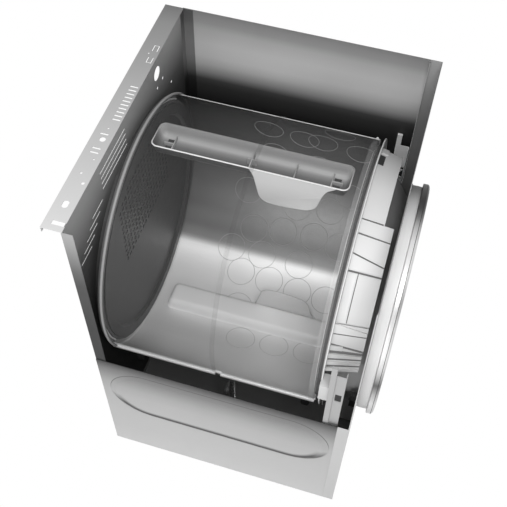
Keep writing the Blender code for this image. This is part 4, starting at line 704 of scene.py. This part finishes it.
skin_section = [
    (DRUM_INNER, DRUM_FRONT + SKIN_IN), (DRUM_RADIUS, DRUM_FRONT + SKIN_IN),
    (DRUM_RADIUS, DRUM_REAR - SKIN_IN), (DRUM_INNER, DRUM_REAR - SKIN_IN),
]
near_skin = sweep("drum_near_skin", skin_section, "drum", DRUM_GHOST, CENTRE, CUT_HIGH, CUT_LOW, steps=90)


def round_ring(name, radius, y, wire, body, finish, start=CUT_HIGH, end=CUT_LOW, centre=CENTRE):
    """Ring of round wire about an axis along Y, between two angles."""
    section = []
    for i in range(14):
        turn = 2 * math.pi * i / 14
        section.append((radius + wire * math.cos(turn), y + wire * math.sin(turn)))
    ring = sweep(name, section, body, finish, centre, start, end, angle=60)


# The cut-away half keeps its two ends as thin rolled rings; the rear ring is in painted shade and its curl
# carries a painted highlight.
for label, y, way, finish in (("front", DRUM_FRONT, 1, GHOST_RIM), ("rear", DRUM_REAR, -1, RIM_SHADE)):
    rim_section = [
        (DRUM_LIP_RADIUS, y), (DRUM_RADIUS - 0.002, y), (DRUM_RADIUS, y + way * 0.002),
        (DRUM_RADIUS, y + way * RIM_LONG), (DRUM_INNER, y + way * RIM_LONG), (DRUM_INNER, y + way * 0.003),
        (DRUM_LIP_RADIUS, y + way * 0.0015),
    ]
    rim = sweep(f"drum_{label}_rim", rim_section, "drum", finish, CENTRE, CUT_HIGH, CUT_LOW, steps=90)
for name, radius, y, wire, finish in (
    ("drum_rear_bead", DRUM_RADIUS + 0.0005, DRUM_REAR - 0.0085, 0.0032, CIRCLE_LINE),
    ("drum_rear_curl", DRUM_LIP_RADIUS + 0.0012, DRUM_REAR - 0.0018, 0.0022, RIM_HIGHLIGHT),
    ("drum_front_curl", DRUM_LIP_RADIUS + 0.001, DRUM_FRONT + 0.0012, 0.001, GHOST_RIM),
):
    round_ring(name, radius, y, wire, "drum", finish)

# Straight beads along the cut, thinner and set in where the belt passes, in a lighter copy of the drum steel:
# a painted highlight.
BELT_Y = 0.024
BELT_HALF = 0.005
BELT_FREE = BELT_HALF + 0.0015
for label, angle, radius in (("low", CUT_LOW, 0.0055), ("high", CUT_HIGH, 0.001)):
    bm = bmesh.new()
    x, z = round_about(angle, DRUM_RADIUS - 0.001, DRUM_Z)
    for first, last in ((DRUM_FRONT + 0.002, BELT_Y - BELT_FREE), (BELT_Y + BELT_FREE, DRUM_REAR - 0.002)):
        tube_into(bm, [(x, first, z), (x, last, z)], radius, sides=20)
    thin = radius * 0.8
    x, z = round_about(angle, DRUM_RADIUS - 0.0002 - thin, DRUM_Z)
    tube_into(bm, [(x, BELT_Y - BELT_FREE - 0.001, z), (x, BELT_Y + BELT_FREE + 0.001, z)], thin, sides=20)
    edge = new_piece(f"drum_{label}_edge", bm, "drum", DRUM_EDGE_HIGHLIGHT)

# Pressed circles, as (angle, y) of their middles.
CIRCLE_RADIUS = 0.0376
CIRCLE_WIRE = 0.0006
CIRCLES = [
    (-72.6, -0.155), (-72, -0.075), (-70, 0.008), (-69, 0.09), (-44, 0.004), (-43, -0.082), (-45, -0.156),
    (-46, 0.085), (-58, 0.134), (-58.5, -0.06), (-58, 0.046), (-17.5, -0.155), (-28, -0.11), (-30, -0.02),
    (-27, 0.12), (-4, -0.06), (-2, 0.06), (13, -0.165), (15.5, -0.066), (15, -0.018), (17, 0.075),
    (30, -0.11), (-88, -0.115), (-90, -0.02), (-87, 0.07), (-104, -0.15), (-105, -0.06), (-106, 0.03),
]


def ring_on_drum(bm, angle, y):
    points = []
    for i in range(48):
        turn = 2 * math.pi * i / 48
        around = math.degrees(CIRCLE_RADIUS * math.cos(turn) / DRUM_INNER)
        x, z = round_about(angle + around, DRUM_INNER, DRUM_Z)
        points.append((x, y + CIRCLE_RADIUS * math.sin(turn), z))
    tube_into(bm, points, CIRCLE_WIRE, sides=6, closed=True)


bm = bmesh.new()
for angle, y in CIRCLES:
    ring_on_drum(bm, angle, y)
circles = new_piece("drum_pressed_circles", bm, "drum", CIRCLE_LINE)


# ---- Belt

BELT_THICK = 0.0022
# The drum, the motor pulley and the idler, as (x, z, radius).
RUN_CIRCLES = (
    (0.0, DRUM_Z, DRUM_RADIUS + 0.0003), (0.12, FOOT + 0.125, 0.0123), (-0.09, FOOT + 0.165, 0.0253),
)


def belt_path():
    """The loop round the drum, the motor pulley and the idler, as (angle of its normal, x, z)."""
    path = []
    steps = 240
    for i in range(steps):
        turn = 2 * math.pi * i / steps
        nx, nz = math.cos(turn), math.sin(turn)
        x, z, radius = max(RUN_CIRCLES, key=lambda c: c[0] * nx + c[1] * nz + c[2])
        grown = radius + BELT_THICK / 2
        path.append((turn, x + grown * nx, z + grown * nz))
    return path


def belt_span(name, finish, picked):
    """A ribbed belt through the picked points of the loop."""
    half, thick = BELT_HALF, BELT_THICK / 2
    section = [(-half, thick), (half, thick), (half, -thick * 0.4)]
    ribs = 4
    for i in range(ribs):
        y = half - 2 * half * i / ribs
        section += [(y - half / ribs, -thick), (y - 2 * half / ribs, -thick * 0.4)]
    loops = []
    for turn, x, z in picked:
        nx, nz = math.cos(turn), math.sin(turn)
        loops.append([(x + nx * out, BELT_Y + y, z + nz * out) for y, out in section])
    bm = bmesh.new()
    loft_into(bm, loops)
    piece = new_piece(name, bm, "cabinet", finish, angle=60)
    return piece


loop = belt_path()
high, low = math.radians(CUT_HIGH), math.radians(CUT_LOW)
over_top = [p for p in loop if high <= p[0] <= low]
underneath = [p for p in loop if p[0] >= low] + [p for p in loop if p[0] <= high]
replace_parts(belt_span("belt_lower_run", RUBBER, underneath), "drum_belt")
belt_span("belt_cut_away_run", GHOST_BELT, over_top)


# ---- Baffles

BAFFLE_Y = 0.0345
BAFFLE_HALF_LONG = 0.2175
BAFFLE_HALF_WIDE = 0.0365
BAFFLE_TURN = 2  # degrees that both bars stand turned from upright
BAFFLE_DEEP = 0.03
BAFFLE_WALL = 0.0018
BAFFLE_SEAT = 0.3098
BAFFLE_FLOOR = BAFFLE_SEAT - BAFFLE_DEEP + BAFFLE_WALL
HOLE_IN = 0.03  # from a bar's end to the middle of its holes
FIN_X = -0.0335
FIN_CORNERS = [
    (-0.159, 0.004, 0.003), (-0.139, 0.018, 0.008), (-0.1305, 0.037, 0.01), (-0.1195, 0.079, 0.01),
    (-0.103, 0.0915, 0.009), (-0.045, 0.0995, 0.018), (-0.006, 0.0965, 0.009), (0.007, 0.083, 0.009),
    (0.0215, 0.022, 0.01), (0.032, 0.004, 0.003),
]
FIN_MIDDLE = Vector((-0.056, 0.045))
# Painted shade and a painted highlight across the upper bar's hollow: dark at its near side, brightest
# towards its far side.
BAR_LIGHT_STOPS = [
    (-0.026, 52), (-0.014, 58), (-0.002, 78), (0.01, 96), (0.022, 126), (0.031, 158), (0.038, 142),
    (0.046, 112),
]
# Painted highlight along the bars' rims and ribs: brightest at the near side, darker towards the far side.
RIM_HIGHLIGHT_STOPS = [(-0.03, 238), (-0.02, 225), (-0.005, 190), (0.02, 160), (0.046, 128)]


def bar_light_and_shade_colour(tree, place):
    """Painted shade and highlight across the upper bar; the lower one is painted light all over."""
    low = share_along(tree, place, UP, DRUM_Z + 0.01, DRUM_Z - 0.01)
    return mixed(tree, low, toned_along(tree, place, ACROSS, BAR_LIGHT_STOPS, lift=1.3), grey(tone(232)))


BAR_PLASTIC = moulded_finish("bar_moulding_painted_light", bar_light_and_shade_colour, 0.45, 0.04)
RIM_PLASTIC = moulded_finish("bar_rim_painted_highlight", along_colour(RIM_HIGHLIGHT_STOPS, ACROSS), 0.45)


def rounded_outline(half_a, half_b, corner):
    points = []
    for i, (side_a, side_b) in enumerate(((1, -1), (1, 1), (-1, 1), (-1, -1))):
        for k in range(9):
            turn = math.radians(90 * (i - 1) + 90 * k / 8)
            points.append((side_a * (half_a - corner) + corner * math.cos(turn),
                           side_b * (half_b - corner) + corner * math.sin(turn)))
    return points


def softened(corners):
    """Outline through (a, b, radius) corners, each rounded by a curve that leaves its sides radius away."""
    points = []
    count = len(corners)
    for i, (a, b, radius) in enumerate(corners):
        here = Vector((a, b))
        before = Vector(corners[i - 1][:2])
        after = Vector(corners[(i + 1) % count][:2])
        start = here + (before - here).normalized() * radius
        end = here + (after - here).normalized() * radius
        for k in range(7):
            t = k / 6
            points.append(tuple((1 - t) ** 2 * start + 2 * t * (1 - t) * here + t ** 2 * end))
    return points


def bar_into(bm, place):
    """The hollow bar, as loops of (inset, height, corner) down its outside and back up its inside."""
    shells = (
        (0.0, 0.0, 0.014), (0.0015, -0.004, 0.0135), (0.003, -0.016, 0.013), (0.0055, -0.024, 0.012),
        (0.0105, -0.0288, 0.01), (0.016, -BAFFLE_DEEP, 0.008),
    )
    outer, hollow = [], []
    for inset, height, corner in shells:
        for loops, wall in ((outer, 0.0), (hollow, BAFFLE_WALL)):
            points = rounded_outline(BAFFLE_HALF_LONG - inset - wall, BAFFLE_HALF_WIDE - inset - wall,
                                     max(corner - wall, 0.003))
            up = BAFFLE_SEAT + (height + wall if height else 0.0)
            loops.append([place @ Vector((b, BAFFLE_Y + a, up)) for a, b in points])
    loft_into(bm, outer[::-1] + hollow)


def ribs_into(bm, place):
    """Ribs on the bar's floor: two at each end, a cross in the middle and one towards the front."""
    floor = BAFFLE_FLOOR
    for end in (-1, 1):
        y = BAFFLE_Y + end * (BAFFLE_HALF_LONG - HOLE_IN)
        box_into(bm, (-0.0018, y - 0.012, floor), (0.0018, y + 0.012, floor + 0.008), place, bevel=0.0006)
        edge = y - end * 0.0105
        box_into(bm, (-0.022, edge - 0.001, floor), (0.022, edge + 0.001, floor + 0.01), place, bevel=0.0005)
    for half_x, low, high, tall, bevel in (
        (0.0235, -0.001, 0.001, 0.017, 0.0005),
        (0.001, -0.0105, 0.0105, 0.017, 0.0005),
        (0.0225, -0.0975, -0.096, 0.012, 0.0004),
    ):
        corner = (half_x, BAFFLE_Y + high, floor + tall)
        box_into(bm, (-half_x, BAFFLE_Y + low, floor), corner, place, bevel=bevel)


def fin_into(bm, place):
    """The flat fin under the bar's edge, with its outline softened and its two faces a little smaller."""
    outline = softened(FIN_CORNERS)
    loops = []
    for x, grow in ((-0.0022, -0.001), (-0.0014, 0.0), (0.0014, 0.0), (0.0022, -0.001)):
        loop_points = []
        for y, depth in outline:
            away = (Vector((y, depth)) - FIN_MIDDLE).normalized() * grow
            loop_points.append(place @ Vector((FIN_X + x, y + away[0], BAFFLE_SEAT - depth - away[1])))
        loops.append(loop_points)
    loft_into(bm, loops)


def baffle(label, turn):
    """Hollow bar with a rolled rim, dark sheets of painted shade for two square holes at each end, a
    cross-shaped boss and a fin.
    """
    place = Matrix.Translation((0, 0, DRUM_Z)) @ Matrix.Rotation(math.radians(turn), 4, "Y")
    bm = bmesh.new()
    bar_into(bm, place)
    bar = new_piece(f"{label}_bar", bm, "drum", BAR_PLASTIC, angle=40)
    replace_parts(bar, label)

    bm = bmesh.new()
    line = rounded_outline(BAFFLE_HALF_LONG - 0.0005, BAFFLE_HALF_WIDE - 0.0005, 0.0135)
    points = [place @ Vector((b, BAFFLE_Y + a, BAFFLE_SEAT - 0.0008)) for a, b in line]
    tube_into(bm, points, 0.0016, closed=True)
    new_piece(f"{label}_rim", bm, "drum", RIM_PLASTIC, angle=60)

    # Dark sheets of painted shade on the bar's floor where its square holes are.
    bm = bmesh.new()
    for end in (-1, 1):
        y = BAFFLE_Y + end * (BAFFLE_HALF_LONG - HOLE_IN)
        for x in (-0.0105, 0.0105):
            box_into(bm, (x - 0.0062, y - 0.0075, BAFFLE_FLOOR + 0.0002),
                     (x + 0.0062, y + 0.0075, BAFFLE_FLOOR + 0.0006), place)
    new_piece(f"{label}_holes", bm, "drum", SHADOW_GAP, angle=40)

    bm = bmesh.new()
    ribs_into(bm, place)
    new_piece(f"{label}_ribs", bm, "drum", RIM_PLASTIC, angle=40)

    bm = bmesh.new()
    fin_into(bm, place)
    new_piece(f"{label}_fin", bm, "drum", FIN_PLASTIC, angle=40)


baffle("top_baffle", BAFFLE_TURN)
baffle("bottom_baffle", BAFFLE_TURN + 180)


# ---- Front bulkhead

FLANGE_Y = -0.2215
COLLAR_BACK = -0.2228
COLLAR_FRONT = -0.2925
COLLAR_TOP = 0.304
COLLAR_DROP = 0.014
THROAT_BACK = 0.283
THROAT_WALL = 0.0025
# Rings of the throat, as (radius, y, height of its middle).
THROAT_LINE = [
    (THROAT_BACK, FLANGE_Y - 0.001, DRUM_Z), (0.2772, -0.2338, 0.5566), (0.2575, -0.272, 0.528),
    (0.2395, -0.302, 0.501),
]
SLOT_HALF = 0.137  # the lint filter comes up through a slot this wide to each side


def collar_place(angle, y, height=0.0):
    """Place on the collar's outer wall, or that far above it."""
    share = (COLLAR_BACK - y) / (COLLAR_BACK - COLLAR_FRONT)
    x, z = round_about(angle, COLLAR_TOP - COLLAR_DROP * share + height, DRUM_Z)
    return Vector((x, y, z))


def pad_into(bm, back_span, front_span, y_back, y_front, low, high, steps=6):
    """A slab that follows the collar's wall, between two spans of angle."""
    loops = []
    for k in range(5):
        share = k / 4
        y = y_back + (y_front - y_back) * share
        first = back_span[0] + (front_span[0] - back_span[0]) * share
        last = back_span[1] + (front_span[1] - back_span[1]) * share
        angles = [first + (last - first) * i / steps for i in range(steps + 1)]
        upper = [collar_place(a, y, high) for a in angles]
        loops.append(upper + [collar_place(a, y, low) for a in angles[::-1]])
    loft_into(bm, loops)


def even_pad_into(bm, span, y_back, y_front, low, high, steps=6):
    pad_into(bm, span, span, y_back, y_front, low, high, steps)


def throat_into(bm, line, slot_half):
    """A skin through some of the throat's rings, left open at the bottom by the slot if there is one."""
    around = line + [(radius - THROAT_WALL, y, z) for radius, y, z in line[::-1]]
    steps = 144
    loops = []
    for step in range(steps + 1):
        loop_points = []
        for radius, y, z in around:
            half = math.degrees(math.asin(slot_half / radius))
            x, height = round_about(-90 + half + (360 - 2 * half) * step / steps, radius, z)
            loop_points.append((x, y, height))
        loops.append(loop_points)
    if slot_half:
        loft_into(bm, loops)
    else:
        loft_into(bm, loops[:-1] + loops[:1], caps=False)


ring_section = [
    (THROAT_BACK - 0.004, FLANGE_Y - 0.0025), (0.3172, FLANGE_Y - 0.0025), (0.3185, FLANGE_Y - 0.0015),
    (0.3185, FLANGE_Y), (0.2925, FLANGE_Y), (0.2925, FLANGE_Y + 0.0165), (0.29, FLANGE_Y + 0.0165),
    (0.29, FLANGE_Y), (THROAT_BACK - 0.004, FLANGE_Y),
]
ring = sweep("bulkhead_ring", ring_section, "cabinet", COLLAR_PLAIN, CENTRE, steps=144)
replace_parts(ring, "front_bulkhead")

bm = bmesh.new()
throat_into(bm, THROAT_LINE[:2], 0.0)
throat_into(bm, THROAT_LINE[1:], SLOT_HALF)
new_piece("bulkhead_throat", bm, "cabinet", COLLAR_PLAIN, angle=50)

bm = bmesh.new()
for span, y_front, low, high, steps in (
    ((58, 104), -0.272, -0.0025, 0.0, 24),
    ((104, 124.5), COLLAR_FRONT, -0.0025, 0.0, 12),
    ((124.5, 146.5), COLLAR_FRONT, -0.007, -0.0045, 12),
    ((146.5, 168), COLLAR_FRONT, -0.0025, 0.0, 12),
):
    even_pad_into(bm, span, COLLAR_BACK, y_front, low, high, steps)
new_piece("collar_wall", bm, "cabinet", COLLAR, angle=30)

# Pads, wedge gussets and fins that stand on the collar, as back and front spans of angle and a height.
RAISED = [
    ((104.3, 109.6), (104.3, 110.2), 0.0022),
    ((118.4, 124.6), (121.2, 124.0), 0.0024),
    ((146.4, 150.4), (148.6, 150.2), 0.0024),
    ((160.4, 162.6), (160.0, 161.4), 0.003),
    ((164.4, 166.4), (163.6, 165.0), 0.003),
    ((168.4, 170.2), (167.4, 168.8), 0.003),
]
bm = bmesh.new()
for back_span, front_span, height in RAISED:
    pad_into(bm, back_span, front_span, COLLAR_BACK - 0.001, COLLAR_FRONT + 0.0005, -0.001, height)
pad_into(bm, (156.2, 158.4), (156.2, 158.2), COLLAR_BACK - 0.001, -0.25, -0.001, 0.0035)
even_pad_into(bm, (124.8, 146.2), -0.2415, -0.244, -0.0045, -0.002)
even_pad_into(bm, (58, 64), COLLAR_BACK, -0.24, -0.001, 0.003)
new_piece("collar_gussets", bm, "cabinet", COLLAR, angle=30)

# Dark lines of painted shade beside the raised pads, gussets and fins, as back and front spans of angle.
SHADOW_LINES = [
    ((109.7, 110.3), (110.3, 110.8)),
    ((117.7, 118.3), (120.6, 121.1)),
    ((124.7, 125.3), (124.7, 125.3)),
    ((150.5, 151.1), (150.3, 150.9)),
    ((155.4, 156.1), (157.4, 158.4)),
    ((158.6, 160.2), (158.6, 159.8)),
    ((162.8, 164.0), (161.6, 162.6)),
    ((166.6, 168.0), (165.2, 166.2)),
]
bm = bmesh.new()
pad_into(bm, (103.6, 104.2), (103.5, 104.1), COLLAR_BACK - 0.002, -0.27, -0.001, 0.0004, steps=2)
for back_span, front_span in SHADOW_LINES:
    pad_into(bm, back_span, front_span, COLLAR_BACK - 0.002, COLLAR_FRONT, -0.001, 0.0004, steps=2)
even_pad_into(bm, (124.9, 146.0), -0.2445, -0.2462, -0.0046, -0.0041)
new_piece("collar_shadow_lines", bm, "cabinet", SHADOW_LINE_GREY, angle=30)

# Dark sheets of painted shade where the collar has openings.
bm = bmesh.new()
even_pad_into(bm, (66, 74), COLLAR_BACK + 0.0002, -0.236, 0.0002, 0.0012)
even_pad_into(bm, (170.5, 176), COLLAR_BACK, -0.25, -0.004, -0.001)
new_piece("collar_opening_shade", bm, "cabinet", SHADOW_GAP, angle=30)

# Ears that hold the bulkhead at the posts, and the two bosses below that carry the rollers.
EAR_LOW, EAR_HIGH = FOOT + 0.53, FOOT + 0.59
EAR_BACK = FLANGE_Y + 0.0005
bm = bmesh.new()
for side in (-1, 1):
    low, high = sorted((side * 0.299, side * 0.332))
    box_into(bm, (low, -0.245, EAR_LOW), (high, EAR_BACK, EAR_HIGH), bevel=0.001)
for angle in (235, 305):
    for radius in (0.3065, 0.3257, 0.3448):
        x, z = round_about(angle, radius, DRUM_Z)
        tube_into(bm, [(x, FLANGE_Y - 0.003, z), (x, EAR_BACK, z)], 0.018, sides=36)
new_piece("bulkhead_ears", bm, "cabinet", COLLAR_PLAIN, angle=30)
# A light wire along the flange's outer edge: a painted highlight.
round_ring("bulkhead_edge_highlight", 0.3178, FLANGE_Y - 0.0012, 0.0016, "cabinet", EDGE_HIGHLIGHT_AND_HOOK,
           start=40, end=205)


# ---- Posts

POST_X = 0.3325
POST_BACK = -0.2415
HOOK_Z = FOOT + 0.56
HOOK_X = POST_X - 0.003
HOOK_HALF = 0.02
HOOK_LINE = [(-0.016, 0.014), (-0.03, 0.014), (-0.017, -0.004), (-0.015, -0.01), (-0.031, -0.015)]
for label, side in (("left", -1), ("right", 1)):
    # A dark sheet of painted shade in the post's window behind each hook.
    bm = bmesh.new()
    low, high = sorted((side * (POST_X - 0.0004), side * (POST_X - 0.0008)))
    front, back = POST_BACK - 0.0325, POST_BACK - 0.0135
    box_into(bm, (low, front, HOOK_Z - HOOK_HALF), (high, back, HOOK_Z + HOOK_HALF))
    new_piece(f"{label}_hook_window_shade", bm, "cabinet", SHADOW_GAP, angle=40)
    bm = bmesh.new()
    points = [(side * HOOK_X, POST_BACK + forward, HOOK_Z + up) for forward, up in HOOK_LINE]
    tube_into(bm, points, 0.0014, sides=8)
    new_piece(f"{label}_hook", bm, "cabinet", EDGE_HIGHLIGHT_AND_HOOK, angle=60)


# ---- Door

PLUG_RADIUS = OPENING_RADIUS - 0.013
LIP_BACK = -0.3052
POCKET_HALF = 4.8  # degrees each side of the hinge arm, where the ring leaves room for it
POCKET_DEEP = 0.0125
RING_HOLD = WINDOW_RADIUS + 0.012
frame_section = [
    (RING_HOLD, FRAME_FRONT), (FRAME_RADIUS - 0.001, FRAME_FRONT), (FRAME_RADIUS, FRAME_FRONT + 0.001),
    (FRAME_RADIUS + 0.0006, FRAME_FRONT + 0.012), (FRAME_RADIUS, LIP_BACK - 0.0015),
    (FRAME_RADIUS - 0.0006, LIP_BACK), (FRAME_RADIUS - 0.002, LIP_BACK),
    (FRAME_RADIUS - 0.002, FRAME_BACK - 0.001), (FRAME_RADIUS - 0.004, FRAME_BACK),
    (PLUG_RADIUS + 0.003, FRAME_BACK), (PLUG_RADIUS, FRAME_BACK + 0.003),
    (PLUG_RADIUS - 0.005, FRAME_BACK + 0.02), (PLUG_RADIUS - 0.009, FRAME_BACK + 0.023),
    (WINDOW_RADIUS + 0.006, FRAME_BACK + 0.023), (WINDOW_RADIUS + 0.006, FRAME_BACK + 0.02),
    (PLUG_RADIUS - 0.011, FRAME_BACK + 0.02), (PLUG_RADIUS - 0.007, FRAME_BACK - 0.004),
    (RING_HOLD, FRAME_BACK - 0.004),
]
door_frame = sweep("door_moulding", frame_section, "door", WHITE_PLASTIC, DOOR_CENTRE, steps=144)
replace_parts(door_frame, "door_frame")

RING_SEAT = FRAME_FRONT - 0.0003
RING_FACE = [
    (WINDOW_RADIUS, TRIM_FRONT + 0.003), (WINDOW_RADIUS + 0.001, TRIM_FRONT + 0.0012),
    (WINDOW_RADIUS + 0.004, TRIM_FRONT), (TRIM_RADIUS - 0.012, TRIM_FRONT),
    (TRIM_RADIUS - 0.008, TRIM_FRONT + 0.0005), (TRIM_RADIUS - 0.004, TRIM_FRONT + 0.0016),
    (TRIM_RADIUS - 0.0014, TRIM_FRONT + 0.0034), (TRIM_RADIUS - 0.0003, TRIM_FRONT + 0.0052),
    (TRIM_RADIUS, TRIM_FRONT + 0.0066),
]
RING_BACK = [(RING_HOLD, RING_SEAT), (RING_HOLD, TRIM_FRONT + 0.006), (WINDOW_RADIUS, TRIM_FRONT + 0.006)]
full_section = RING_FACE + [(TRIM_RADIUS, FRAME_FRONT - 0.0012), (TRIM_RADIUS - 0.001, RING_SEAT)] + RING_BACK
pocket_section = RING_FACE + [
    (TRIM_RADIUS, ARM_FRONT), (TRIM_RADIUS - POCKET_DEEP, ARM_FRONT), (TRIM_RADIUS - POCKET_DEEP, RING_SEAT),
] + RING_BACK
bm = bmesh.new()
sweep_into(bm, full_section, POCKET_HALF, 360 - POCKET_HALF, DOOR_CENTRE, 150)
sweep_into(bm, pocket_section, -POCKET_HALF, POCKET_HALF, DOOR_CENTRE, 8)
trim = new_piece("door_chrome_ring", bm, "door", CHROME)
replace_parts(trim, "door_trim_ring")
round_ring("door_ring_line", TRIM_RADIUS - 0.0003, TRIM_FRONT + 0.006, 0.0007, "door", DARK_PLASTIC,
           start=0, end=360, centre=DOOR_CENTRE)


# ---- Stage

FLOOR_SIZE = 12
FLOOR_DROP = 0.0005
CAMERA_PLACE = Vector((-1.1675, -0.3064, 2.2347))
CAMERA_RIGHT = Vector((0.28983, -0.95699, 0.01319))
CAMERA_UP = Vector((0.77668, 0.24323, 0.58104))
CAMERA_AHEAD = Vector((0.55926, 0.15816, -0.81377))
CAMERA_LENS = 60.93
SKY_LIGHT = 0.37  # strength of the white surroundings, which the camera sees as 1


def make_stage():
    """A floor that takes the light but looks plain white to the camera."""
    mesh = bpy.data.meshes.new("floor")
    size = FLOOR_SIZE
    corners = [(-size, -size, 0), (size, -size, 0), (size, size, 0), (-size, size, 0)]
    mesh.from_pydata(corners, [], [(0, 1, 2, 3)])
    floor = bpy.data.objects.new("floor", mesh)
    show(floor)
    floor.location.z = -FLOOR_DROP
    made = bpy.data.materials.new("pale_floor")
    made.use_nodes = True
    tree = made.node_tree
    shader = tree.nodes["Principled BSDF"]
    fill(tree, shader, Base_Color=grey(0.85), Roughness=0.9, Specular_IOR_Level=0.0)
    light = fill(tree, tree.nodes.new("ShaderNodeEmission"), Color=grey(1.0), Strength=1.0)
    path = tree.nodes.new("ShaderNodeLightPath")
    mix = fill(tree, tree.nodes.new("ShaderNodeMixShader"), Fac=path.outputs["Is Camera Ray"])
    feed(tree, shader.outputs[0], mix.inputs[1])
    feed(tree, light.outputs[0], mix.inputs[2])
    feed(tree, mix.outputs[0], tree.nodes["Material Output"].inputs["Surface"])
    mesh.materials.append(made)


def area_light(name, place, target, size, power):
    data = bpy.data.lights.new(name, "AREA")
    data.energy = power
    data.shape = "RECTANGLE"
    data.size = data.size_y = size
    lamp = bpy.data.objects.new(name, data)
    lamp.location = place
    lamp.rotation_euler = (Vector(target) - Vector(place)).to_track_quat("-Z", "Y").to_euler()
    show(lamp)


def make_light():
    scene = bpy.context.scene
    world = bpy.data.worlds.new("studio")
    scene.world = world
    world.use_nodes = True
    tree = world.node_tree
    back = tree.nodes["Background"]
    back.inputs["Color"].default_value = grey(1.0)
    path = tree.nodes.new("ShaderNodeLightPath")
    seen = maths(tree, "MULTIPLY", path.outputs["Is Camera Ray"], 1.0 - SKY_LIGHT)
    feed(tree, maths(tree, "ADD", seen, SKY_LIGHT), back.inputs["Strength"])
    area_light("key_soft_box", (-1.35, -0.45, 3.0), (0.1, 0, 0.5), 1.2, 44)
    area_light("left_soft_box", (-3.0, 0.3, 1.3), (0, 0, 0.5), 1.8, 30)
    scene.view_settings.view_transform = "Standard"
    scene.view_settings.look = "None"


def make_camera():
    data = bpy.data.cameras.new("camera")
    data.sensor_width = 36.0
    data.lens = CAMERA_LENS
    camera = bpy.data.objects.new("camera", data)
    turn = Matrix((CAMERA_RIGHT, CAMERA_UP, -CAMERA_AHEAD)).transposed()
    camera.matrix_world = Matrix.Translation(CAMERA_PLACE) @ turn.to_4x4()
    show(camera)
    bpy.context.scene.camera = camera


make_stage()
make_light()
make_camera()
